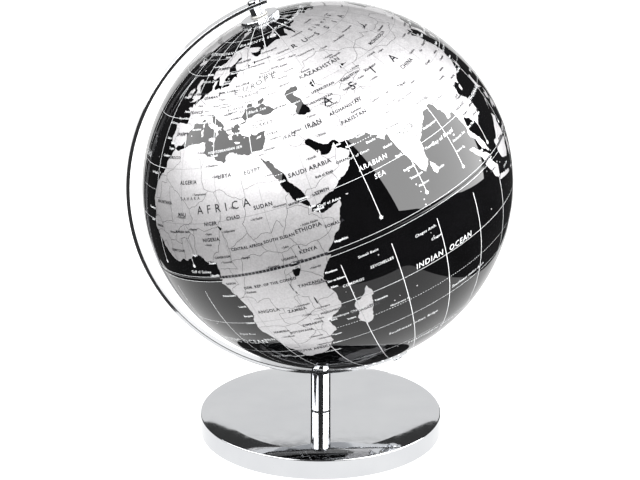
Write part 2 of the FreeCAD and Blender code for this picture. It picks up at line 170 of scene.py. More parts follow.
# ---- the atlas: places as "latitude longitude" in degrees --------------------------------
COASTS = {
    "africa": """
        35.8 -5.8, 35.9 -5.3, 35.2 -3.9, 35.3 -2.9, 35.8 -0.6, 36.8 3.1, 36.8 5.1, 37 7.8, 37.3 9.9,
        37.1 11, 36.4 10.6, 35.5 11.1, 34.7 10.8, 33.9 10.1, 33.8 11, 32.9 12.1, 32.9 13.2, 32.4 15.2,
        31.2 16.6, 30.3 19.2, 30.9 20.1, 32.1 20.1, 32.9 21.7, 32.8 22.6, 32.1 24, 31.7 25.1, 31.4 27.2,
        30.8 28.9, 31.2 29.9, 31.5 30.4, 31.5 31.8, 31.2 32.6, 29.9 32.5, 29.1 32.6, 28.4 33.1, 27.2 33.8,
        26.1 34.3, 25.1 34.9, 23.9 35.5, 22.2 36.6, 19.6 37.2, 18.4 37.8, 18 38.6, 15.6 39.5, 15.2 39.9,
        13.9 41.6, 13 42.7, 12.4 43.3, 11.6 42.9, 11.4 43.5, 10.4 45, 11.3 49.2, 11.8 51.3, 10.4 51.2,
        8 49.8, 5.35 48.5, 2 45.3, -0.4 42.5, -2.3 40.9, -3.2 40.1, -4.05 39.7, -5.1 39.1, -6.8 39.3,
        -8.8 39.5, -10.3 40.4, -13 40.5, -15 40.7, -16.2 39.9, -17.9 37, -18.7 36.3, -19.8 34.8,
        -21 35.1, -22.3 35.5, -24.1 35.5, -25.1 33.6, -26 32.7, -28.4 32.4, -29.9 31, -31.6 29.5,
        -33 27.9, -33.9 25.7, -34.2 24.8, -34.1 22.1, -34.8 20, -34.3 18.4, -33 17.9, -32.1 18.3,
        -29.3 16.9, -26.6 15.1, -22.9 14.4, -21.8 13.9, -18.4 12, -17.2 11.8, -15.2 12.1, -12.4 13.5,
        -8.8 13.2, -6 12.3, -4.8 11.8, -3.4 10.7, -0.6 8.7, 0.4 9.4, 1.9 9.8, 3.9 9.5, 4.5 8.5, 4.3 6.2,
        5.4 5.2, 6.4 3.4, 6.1 1.2, 5.5 -0.2, 4.75 -2.1, 5.2 -4, 4.4 -7.7, 6.3 -10.8, 8.5 -13.2,
        9.5 -13.7, 11.9 -15.8, 12.5 -16.8, 14.7 -17.5, 16 -16.5, 18.1 -16, 20.8 -17.1, 23.7 -15.9,
        26.1 -14.5, 27.9 -12.9, 28.7 -11.1, 30.4 -9.6, 31.5 -9.8, 32.3 -9.3, 33.6 -7.6, 35.2 -6.2""",
    "eurasia": """
        31.2 32.3, 29.95 32.4, 28.9 33.2, 27.7 34.25, 28.5 34.5, 29.5 34.95, 28 34.7, 27.9 35.3, 26.2 36.4,
        25 37.3, 24.1 38, 22.8 39, 21.5 39.1, 20.1 40.3, 19.1 41.1, 16.9 42.5, 14.8 42.9, 13.3 43.2,
        12.6 43.5, 12.8 45, 13.4 46.7, 14.5 49.1, 15.6 52.2, 17 54.1, 18 56.6, 19 57.8, 20.6 58.3,
        22.5 59.8, 23.6 58.6, 24.4 56.7, 26.3 56.4, 25.3 55.3, 24.2 54, 24.1 52.4, 24.4 51.3, 25.3 51.6,
        26.15 51.2, 25.4 50.7, 24.75 50.8, 26.4 50.1, 27.5 49.2, 29.4 48, 30 48.6, 30.1 49.4, 28.9 50.8,
        27.8 52, 26.55 54.5, 27.1 56.3, 26.9 57, 25.65 57.8, 25.3 60.6, 25.1 62.3, 25.3 64.6, 24.8 66.9,
        23.7 67.9, 22.9 70, 22.4 69, 20.8 70.9, 22.2 72.4, 21.1 72.7, 18.95 72.8, 17 73.3, 15.4 73.8,
        12.9 74.8, 11.25 75.8, 9.95 76.2, 8.1 77.5, 8.8 78.15, 9.3 79.1, 10.3 79.85, 11.9 79.8, 13.1 80.3,
        15.8 80.6, 16.9 82.3, 17.7 83.3, 19.3 84.9, 20.3 86.7, 21.4 87.1, 21.7 88.2, 21.8 89.9, 22.7 90.9,
        22.3 91.8, 20.1 92.9, 18.9 93.9, 17.6 94.5, 16 94.2, 15.8 95.4, 17.2 96.8, 16.2 97.6, 13.7 98.1,
        12.4 98.6, 10 98.6, 7.9 98.3, 6.3 100.1, 5.4 100.3, 3 101.3, 1.3 103.6, 1.4 104.2, 3.8 103.4,
        6.2 102.3, 6.9 101.3, 8.4 100.1, 9.2 99.5, 10.5 99.3, 12.6 100, 13.5 100.5, 12.6 101.3, 12.1 102.6,
        10.6 103.5, 10.3 104.5, 8.6 104.8, 9.8 106.6, 10.9 108.1, 11.9 109.2, 13.8 109.3, 16.1 108.2,
        18.7 105.8, 20.7 106.8, 21.5 109.1, 20.3 110.1, 21.5 111.5, 22.3 114.2, 23.3 116.8, 24.5 118.2,
        26 119.7, 28 121.1, 29.9 122, 30.4 120.9, 31.2 121.9, 33.5 120.6, 34.8 119.3, 36 120.3, 37.2 122.6,
        37.6 121, 37.2 119.2, 38.9 117.7, 39.9 119.6, 40.9 121.5, 38.9 121.4, 39.8 124.2, 38.7 125.2,
        37.6 126.5, 34.5 126.3, 35.1 129.1, 37.1 129.4, 39.2 127.5, 41.8 129.8, 43.1 132, 43.7 135.3,
        49 140.3, 53.1 141.2, 54 137.5, 54.6 135.3, 56.5 138.2, 59.4 143.2, 59.5 150.8, 59.2 154.9,
        61.8 157, 61.9 160.3, 62.5 164.6, 60.2 162, 57.8 157.2, 54 155.7, 50.9 156.7, 53 159.8,
        54.8 162.1, 56.2 163.3, 58 162.2, 59.9 163.6, 60 170.3, 62.3 177, 62.6 179.6, 64.6 177.5, 65.5 181,
        64.4 187, 66.1 190.3, 67.1 185, 68.9 180, 69.9 176, 69.7 170, 69.7 161, 70.9 152, 72.4 140.8,
        71.4 133, 72.1 129, 73.6 126, 73.9 118.5, 73.6 110, 75.4 113, 76.7 111, 77.7 104.3, 76 98,
        75.9 92.5, 73.8 86.8, 73.5 80.4, 72.3 77.8, 72.8 74.5, 69 73.9, 66.5 71.6, 69 72.5, 73 69.8,
        69.6 66.9, 68.2 66.3, 69.5 60.8, 68.4 59, 68.7 54, 67.4 48.5, 66.9 46, 68.6 43.4, 66.3 43.6,
        66.4 41, 64.6 40.2, 63.9 38.1, 65 34.8, 67.1 32.5, 66.4 35.5, 66.2 38.5, 67.7 41, 69.2 33.5,
        69.9 30, 71.1 25.8, 69.8 19, 68.3 14.8, 67.3 14.3, 64.7 11.2, 62.5 6, 60.4 5.1, 58.9 5.6, 58 7,
        59.2 10.6, 57.7 11.8, 55.5 12.9, 55.5 14.2, 56.1 15.6, 58.6 16.7, 59.4 18.6, 60.7 17.2,
        62.4 17.5, 63.7 20.4, 65.5 22.2, 65.8 24.3, 65 25.3, 63.1 21.5, 61.5 21.5, 60 22.8, 60.1 25,
        60.3 28, 59.9 30, 59.5 28, 59.5 24.7, 58.4 23.6, 57.2 24.4, 57.7 22.6, 56.5 21, 54.7 19.9,
        54.4 18.7, 54.4 16.5, 53.9 14.3, 54.5 13.2, 54 10.9, 54.8 9.8, 56.2 10.4, 57.7 10.6, 57.1 8.6,
        55.5 8.1, 53.9 8.7, 53.4 7, 53 4.8, 51.3 3.2, 51 1.8, 49.8 0.6, 49.3 -0.3, 49.7 -1.7, 48.6 -1.6,
        48.7 -3.3, 48.4 -4.7, 47.4 -2.6, 46.1 -1.2, 43.5 -1.5, 43.5 -3.8, 43.6 -5.7, 43.4 -8.4, 42.9 -9.3,
        41.1 -8.7, 38.7 -9.5, 37 -9, 37.1 -7.2, 36 -5.6, 36.7 -4.4, 36.7 -2.2, 37.6 -0.9, 38.7 0.2,
        39.5 -0.3, 40.7 0.8, 41.4 2.2, 42.3 3.3, 43.1 3.1, 43.4 4.5, 43.1 6.1, 44.4 8.9, 43.5 10.3,
        42.1 11.8, 41.2 13.2, 40.6 14.9, 39.3 16, 38 15.7, 38.8 16.6, 39.1 17.1, 39.7 16.5, 40.4 17.1,
        39.9 18.3, 40.7 18, 41.2 16.5, 41.9 16.1, 42.5 14.2, 43.6 13.5, 44.9 12.5, 45.5 12.6, 45.6 13.7,
        44.9 13.9, 45.2 14.5, 44.1 15.2, 43.5 16.4, 42.6 18.1, 41.3 19.4, 40.3 19.4, 38.9 20.8, 38.3 21.7,
        38.1 23, 37.9 22.1, 37.6 21.3, 36.7 21.9, 36.5 23.1, 37.4 22.8, 37.9 23.6, 37.8 24.1, 38.9 23,
        40.5 22.8, 40 23.9, 40.8 24.3, 40.9 25.8, 40.1 26.2, 40.8 27.2, 41 29, 41.4 28.6, 42.5 27.6,
        43.3 28.2, 45.2 29.6, 46.5 30.8, 46.3 32.8, 45.4 32.6, 44.4 33.8, 45.1 36.4, 45.4 35.2,
        46.3 35.2, 47.1 38, 46 38.2, 45.1 36.8, 43.5 39.8, 41.7 41.6, 41 39.7, 41.3 36.3, 42 35.1,
        41.5 31.8, 41.2 29.2, 40.7 29.6, 40.4 28, 40.2 26.4, 39.4 26.6, 38.4 26.4, 37 27.3, 36.4 29.1,
        36.2 30.4, 36.9 30.8, 36 32.8, 36.7 34.6, 36.5 36.1, 34.4 35.8, 32.8 35, 31.3 34.1""",
    "great_britain": """
        58.6 -3.1, 57.6 -1.9, 56 -3, 54.8 -1.4, 53.2 0.3, 52.6 1.7, 51.3 1.4, 50.7 -1.5, 50.1 -5.6,
        51.3 -3.2, 51.7 -5.2, 53.3 -4.4, 54.6 -3.4, 55 -5, 56.5 -6, 58.5 -5""",
    "ireland": "55.3 -7.3, 54.4 -5.6, 52.2 -6.4, 51.5 -9.6, 53.4 -10.1, 54.3 -9.9",
    "iceland": """
        66.3 -15.8, 64.9 -13.7, 63.5 -18.8, 63.9 -22.7, 65 -22, 65.6 -24.4, 66.4 -22.6, 65.5 -20.8,
        66.1 -18""",
    "svalbard": "80.2 17, 79.8 25, 78.3 21, 76.6 16.8, 78.2 13.5, 79.7 11",
    "novaya_zemlya": "70.7 57.3, 71.4 52, 73.5 54, 75.5 58, 76.9 67.5, 75.8 64, 73.5 57.5",
    "severnaya_zemlya": "78.2 102, 79.3 93, 81.1 96, 79.4 104",
    "new_siberian_islands": "73.4 142, 75.2 138, 76 140, 75.4 149, 74.2 143",
    "sicily": "38.2 12.6, 38.1 15.5, 36.7 15.1, 37.5 12.6",
    "sardinia": "41.2 9.3, 39.2 9.6, 38.9 8.6, 40.7 8.2",
    "corsica": "43 9.4, 41.5 9.2, 42.4 8.6",
    "crete": "35.6 23.7, 35.3 25.8, 35 26.2, 35 24.4",
    "cyprus": "35.3 33, 35.7 34.5, 34.9 34, 34.7 32.5",
    "socotra": "12.7 53.4, 12.6 54.4, 12.3 53.8",
    "madagascar": """
        -12 49.3, -13.6 50, -15.6 50.4, -16 49.6, -18.2 49.4, -20.6 48.5, -22.8 47.8, -25 47, -25.6 45.2,
        -23.4 43.6, -21.8 43.3, -20 44.5, -17.5 43.9, -16.2 44.5, -15.6 46.4, -14.6 47.6, -13.4 48.4""",
    "sri_lanka": "9.8 80.1, 8.5 81.3, 7 81.9, 6 80.6, 7 79.8, 8.6 79.8",
    "sumatra": """
        5.6 95.3, 5.2 97.5, 3.4 99.3, 2 101, 0.4 103.3, -1 104.3, -2.5 106, -5.8 105.8, -5.8 104.6,
        -3.8 102.2, -1 100.4, 1.7 98.8, 3.4 97""",
    "java": """
        -6 106, -6.3 108.4, -6.9 110.4, -6.5 111, -7.2 112.8, -7.8 114.4, -8.7 114.5, -8.3 112, -7.8 109,
        -7.3 106.5, -6.8 105.3""",
    "borneo": """
        7 116.9, 5.3 119.2, 4.2 117.9, 1 118.9, -1 117.3, -3.6 116.2, -4.1 114.7, -3.1 111.8, -1.5 110,
        1.3 109.1, 1.9 109.7, 1.6 111.2, 3.1 113.1, 5 115.2""",
    "sulawesi": """
        1.5 125.1, 0.4 123.7, 0.5 120.8, -0.9 120.8, -0.8 123.3, -1.9 121.6, -3.2 122.4, -4.8 122.5,
        -4.6 121.5, -2.9 120.9, -3.2 120.5, -5.6 120.4, -5.5 119.5, -3.5 119, -1 119.8, 0.8 120, 1 123.2""",
    "halmahera": "2.1 128, 0.9 128.6, -0.8 128.3, 0.8 127.5",
    "ceram": "-2.9 128, -3 130.5, -3.7 130.4, -3.3 128",
    "flores": "-8.2 118, -8.4 122.8, -8.9 121, -8.9 117",
    "sumba": "-9.4 119.3, -10.2 120.7, -9.9 119.6",
    "timor": "-8.4 127, -9.4 125, -10.3 123.6, -9.4 124",
    "new_guinea": """
        -0.4 132.5, -0.8 134.2, -3.3 135, -1.6 138, -2.6 141, -3.8 144.5, -5.5 145.8, -6.7 147.2,
        -8.4 148.5, -10.3 150.7, -10.2 148.5, -7.8 144.8, -7.7 143.5, -9.2 142.8, -8.2 139.5, -8.3 137.8,
        -5.3 138, -4 134.5, -4 132.9, -2.4 133.8, -1.4 131.2""",
    "new_britain": "-4.3 152, -5.6 150.8, -6.3 148.8, -5.6 149.8",
    "luzon": """
        18.6 120.8, 18.3 122.2, 16 121.6, 14.2 122.2, 13.2 123.9, 13.8 121.4, 14.6 120.4, 16.3 119.9""",
    "visayas": "12.5 125, 10.2 125.2, 9.2 123.2, 10.4 122, 11.9 122.4, 11.3 124",
    "mindanao": "9.7 125.5, 7.3 126.5, 5.7 125.4, 7.2 124, 6.9 122, 8.5 123.4",
    "palawan": "11.3 119.5, 10.3 119.5, 8.4 117.2, 9.8 118.4",
    "taiwan": "25.2 121.7, 22 120.8, 23.5 120.1",
    "hainan": "20.1 110.6, 18.6 110, 18.4 108.9, 19.7 109",
    "kyushu": "33.9 131, 32.9 132, 31.3 131.2, 31.2 130.2, 32.9 129.7",
    "shikoku": "34.3 134.3, 33.3 134.1, 32.9 132.8, 33.9 132.8",
    "honshu": """
        34 131, 35.5 133, 35.7 135.9, 37.3 137, 37 138.5, 39 139.8, 41.2 140.3, 41.3 141.4, 39.5 142,
        37 141, 35.7 140.8, 34.9 139.8, 34.7 138.2, 33.5 135.8, 34.7 135.2, 34.3 132.6""",
    "hokkaido": "45.5 141.8, 44.1 144.3, 43.3 145.6, 42 143.3, 42.4 141, 41.5 140.2, 43 140.4",
    "sakhalin": "54.3 142.7, 50 143.9, 48.8 144.7, 46.1 143.3, 46 142, 50 142, 53 142",
    "australia": """
        -10.7 142.5, -14.5 143.8, -15 145.3, -19.2 146.8, -21 149.2, -24 151.6, -25.2 153, -28.5 153.6,
        -32.5 152.3, -34 151.2, -37.5 150, -38 147.8, -39.1 146.4, -38.2 144.6, -38.8 143.5, -38 140.7,
        -36 139.6, -35.2 138.4, -33 137.8, -34.9 136, -32.8 134, -31.5 131.2, -32.3 127.5, -33.9 123.6,
        -34.9 118, -34.3 115.1, -31.9 115.8, -28.7 114.6, -26.1 113.4, -22 113.9, -20.7 117, -19.8 119.8,
        -17.9 122.2, -16.4 123, -14.2 126, -14.9 129.3, -12.4 130.8, -11.4 132.6, -12.1 136.7,
        -15 135.6, -17.6 140.2, -15 141.6, -12.6 141.8""",
    "tasmania": "-40.7 144.8, -40.9 148.2, -43.2 147.9, -43.4 146",
    "new_zealand_north": "-34.4 172.8, -36.9 175.5, -37.7 178.3, -39.3 177.5, -41.5 175.3, -39.3 173.8",
    "new_zealand_south": "-40.6 172.8, -41.7 174.2, -43.8 173, -46.5 169.4, -46 166.6, -43.9 168.8",
    "new_caledonia": "-20.2 164.2, -22.3 167, -21.6 165.4",
    "greenland": """
        83.6 -33, 81.6 -14, 79.5 -18, 76.3 -20, 72.5 -22.5, 70.2 -22.5, 68.3 -30, 65.8 -37, 62 -42.5,
        59.9 -43.7, 61.4 -48.5, 64.2 -52, 67 -54, 69.6 -51, 71.5 -54.5, 75.9 -60, 76.2 -68, 78.3 -72.5,
        80.5 -67, 82.2 -57""",
    "north_america": """
        71.3 -156.5, 70.1 -145, 69 -135, 70.3 -128, 69.5 -122, 67.9 -115, 67.8 -108, 68.4 -98, 71.8 -95,
        69 -92, 69.5 -86, 69.6 -82, 67 -81.7, 66.3 -86, 64 -88, 61.5 -94, 58.8 -94.5, 57 -92, 55.2 -83,
        51.3 -80.4, 54.7 -79.7, 58.5 -78.2, 60.8 -78, 62.4 -74.5, 58.8 -68, 60.3 -64.7, 56.5 -61.3,
        54 -57.5, 52 -55.7, 50.2 -60, 50.2 -66, 47.3 -70.5, 49.2 -65, 47 -65, 45.3 -61.2, 43.6 -65.7,
        45.2 -66.5, 44 -69, 42.5 -70.8, 41.6 -70.2, 40.7 -73.8, 39 -74.8, 37 -76, 35.2 -75.6,
        33.9 -78, 32 -81, 30.5 -81.4, 27 -80.1, 25.2 -80.5, 26.5 -82, 30 -84, 30.4 -87.5, 29.2 -89.5,
        29.6 -93, 28.3 -96.5, 26 -97.2, 22.3 -97.8, 19.2 -96.1, 18.2 -94, 18.8 -91.5, 21 -90.4,
        21.5 -87, 18.5 -88, 15.8 -88.3, 15.9 -84, 11 -83.7, 9 -81.7, 9.5 -79.6, 8.6 -77.3, 7.3 -77.9,
        8.9 -79.4, 7.4 -80.4, 8.3 -82.9, 9.9 -84.9, 11.2 -85.9, 13 -87.6, 13.9 -91.4, 16.1 -94.8,
        15.8 -97, 17.8 -101.8, 19.4 -105, 21.5 -105.4, 25.5 -109, 28 -111.2, 31.5 -113.3, 31.6 -114.7,
        28 -112.7, 23.2 -109.6, 25 -112.1, 28 -114.4, 30 -115.8, 32.5 -117.1, 34.4 -120.5, 36.9 -122,
        40.4 -124.3, 43 -124.4, 46.3 -124, 48.3 -124.6, 47.5 -122.6, 49 -123, 51 -127.4, 54.3 -130.4,
        58 -134.5, 59.5 -139.7, 60 -145, 61 -149, 59.3 -152, 57 -156.5, 54.9 -163.5, 58.6 -157.5,
        60 -163.5, 61.5 -166, 63 -164.5, 63.6 -161, 64.5 -161.5, 64.5 -165.5, 65.6 -168, 66.3 -162,
        68.4 -166.3, 70.3 -162""",
    "baffin_island": """
        73.6 -85, 71.9 -76, 69.5 -67.5, 66.7 -61.5, 63 -65, 62.7 -70, 64.4 -77.5, 65.8 -73.5, 69.5 -78,
        70 -88""",
    "victoria_island": "73 -115, 73 -106, 69 -102, 68.7 -113, 71 -118",
    "banks_island": "74.2 -121, 71.4 -123.5, 73.5 -124.5",
    "ellesmere_island": """
        83 -70, 82 -62, 79 -75, 76.5 -80, 76.4 -89, 79 -86, 81.3 -91, 82.4 -84""",
    "devon_island": "75.5 -80, 74.6 -81, 74.7 -92, 76 -94",
    "queen_elizabeth_islands": "75 -97, 74.8 -103, 76.5 -110, 78 -103, 77 -96",
    "southampton_island": "65.8 -85, 63.8 -81, 63.3 -87",
    "newfoundland": "51.6 -55.6, 49.3 -53.6, 46.7 -53.2, 47.6 -59.2, 49.5 -57.8",
    "vancouver_island": "50.8 -128.2, 48.4 -123.5, 49.3 -126.4",
    "cuba": "23.2 -81, 20.2 -74.2, 19.9 -77.7, 21.9 -82.5, 22 -84.8, 22.9 -83.5",
    "hispaniola": "19.9 -73, 18.6 -68.4, 17.7 -71.5, 18.3 -74.4",
    "jamaica": "18.5 -78.2, 18.1 -76.3, 17.8 -77.3",
    "puerto_rico": "18.5 -67.2, 18.4 -65.7, 18 -66.5",
    "south_america": """
        8.8 -77.4, 11 -74.8, 12.4 -71.7, 10.4 -71.6, 11.9 -70, 10.5 -67, 10.7 -62, 8.5 -60, 6 -57,
        5.8 -54, 4.3 -51.5, 0.5 -50, -0.7 -48, -2.8 -43, -3 -39.5, -5.1 -35.4, -8 -34.9, -11 -37.2,
        -13 -38.5, -18 -39.6, -20.5 -40.5, -22.9 -42, -23.5 -45.2, -25.5 -48.5, -28.5 -48.8, -32 -52.1,
        -34.9 -54.9, -34.5 -58.3, -36.5 -56.8, -38.8 -59, -39 -62.2, -41 -65, -42.5 -64, -45 -66.4,
        -47.8 -65.9, -50.2 -68.6, -52.4 -68.5, -54.8 -65.5, -55.4 -68.5, -53.5 -72, -50 -75.2,
        -46.6 -75.2, -41.8 -73.9, -37.2 -73.5, -33 -71.6, -27 -70.9, -23 -70.5, -18.4 -70.4,
        -16.4 -73, -14 -76.2, -12 -77.1, -8 -79, -6 -81.1, -4.5 -81.3, -2.8 -80, -1 -80.8, 0.8 -80,
        1.8 -78.9, 4 -77.4, 6.5 -77.5""",
    "falkland_islands": "-51.3 -60.5, -51.4 -58, -52.2 -59",
    "antarctica": """
        -70 0, -69.5 20, -68.6 38, -66.5 51, -68 63, -70 72, -67 82, -66.4 95, -66 112, -66.7 130,
        -67.3 145, -70 160, -71.5 170, -77.8 166, -78.5 180, -78.2 197, -76 210, -74.5 240, -73 260,
        -73.5 280, -69.5 291, -65 296, -63.3 302, -66 299, -72 299, -75 301, -77.5 315, -77 327,
        -74.5 335, -71 349""",
}
LAKES = {
    "caspian_sea": """
        47 51, 46.6 53, 45.2 53, 44.5 50.5, 42.8 51.8, 41.5 52.8, 40 52.9, 38.8 53.8, 36.9 53.9,
        36.8 51.5, 37.5 49.6, 38.9 48.9, 40.3 50.1, 41.9 48.5, 43.6 47.5, 45.5 47.2, 46.5 49""",
    "aral_sea": "46.6 61, 45 60.8, 43.8 59.6, 45.2 58.4",
    "victoria": "0.4 33.6, -0.6 34.3, -2.3 33.2, -2.4 31.9, -0.4 31.8",
    "tanganyika": "-3.4 29.3, -5.6 29.9, -8.6 31.1, -6.2 29.6",
    "malawi": "-9.6 34.1, -12 34.7, -14.4 35.2, -12.2 34.2",
    "chad": "13.9 13.6, 13.2 14.9, 12.6 14.3",
    "turkana": "4.6 36.1, 3.4 36.3, 2.5 36.7, 3.7 35.9",
    "baikal": "51.6 104, 52.9 107.6, 55.7 109.8, 53.6 107.3",
    "balkhash": "46.7 75, 46.3 79, 45.2 74",
    "ladoga": "61.6 30.8, 60.8 32.6, 60 31.2",
    "onega": "62.4 35, 61 36, 61 35",
    "superior": "46.8 -92, 48.8 -88, 47.6 -85, 46.6 -84.8, 46.8 -88.5",
    "michigan": "46 -85.6, 43.5 -86.4, 41.7 -87.2, 44.5 -87.7",
    "huron": "46 -83.5, 45.7 -80.9, 43.3 -81.9, 45 -83.3",
    "erie": "42 -83.1, 42.8 -79, 41.5 -82.3",
    "ontario": "43.3 -79.6, 44 -76.5, 43.3 -77.5",
    "winnipeg": "53.7 -98.6, 50.6 -96.6, 52 -98.6",
    "great_slave": "62.8 -110.5, 61.1 -114.8, 61.4 -116.8",
    "great_bear": "66.9 -119, 65.6 -118, 65.2 -123",
    "titicaca": "-15.5 -69.9, -16.4 -68.8, -16 -70",
}
ISLETS = """
    -20.2 57.5, -21.1 55.5, -19.7 63.4, -4.6 55.5, -9.4 46.4, -11.7 43.3, -12.8 45.2, -6.1 39.5,
    4.2 73.4, 2 73.4, 0.5 73.2, 6.5 73, -6 71.8, -7.3 72.4, 10.6 72.7, 12.6 92.8, 11.6 92.6, 7.2 93.8,
    -12.1 96.8, -10.5 105.6, 28.1 -15.5, 28.4 -16.6, 28.5 -14, 15 -23.6, 16.7 -24.9, 38.5 -28, 37.8 -25.4,
    32.7 -17, -16 -5.7, -7.9 -14.4, -37.1 -12.3, -49.3 69.5, -46.5 51.8, -54.4 -36.8, 32.3 -64.7,
    19.6 -155.5, 20.8 -156.4, 21.5 -158, 22 -159.5, -0.5 -91, -0.8 -90.3, -17.8 178, -16.5 179.6,
    -15.3 167, -17.6 168.4, -9.6 160.2, -8 157.2, -6.3 155.4, -13.8 -172, -17.6 -149.5, -21.2 -175.2,
    13.4 144.8, 7.4 134.6, -10.8 165.8, 46.9 151.9, 48.9 154, 45.1 147.8, 52.9 -173, 52 -177, 53.6 -167,
    57.5 -153.6, 53.2 -132.2, 62 -7, 60.4 -1.2, 57.5 18.5, 36.2 28, 39.2 26.2, 37.4 25.4, 39.6 3,
    35.9 14.4, 36.8 -76, 24.3 -76, 26.6 -78.3, 13.2 -59.5, 15.4 -61.3, 81 -62, 80.6 55, 80.5 60, 71.2 180,
    -43.9 -176.5, -52.5 169, 26.5 128, 33.4 126.5, -2.2 147, -8.5 115.2, -8.6 116.5, -1.2 136.2,
    -1.8 106.1, -2.8 107.9, 0.9 104.5, 1.2 97.5, -1.3 98.9, 26 50.6, 25 -77.5, 10.7 -61.3, 12.2 -69
"""
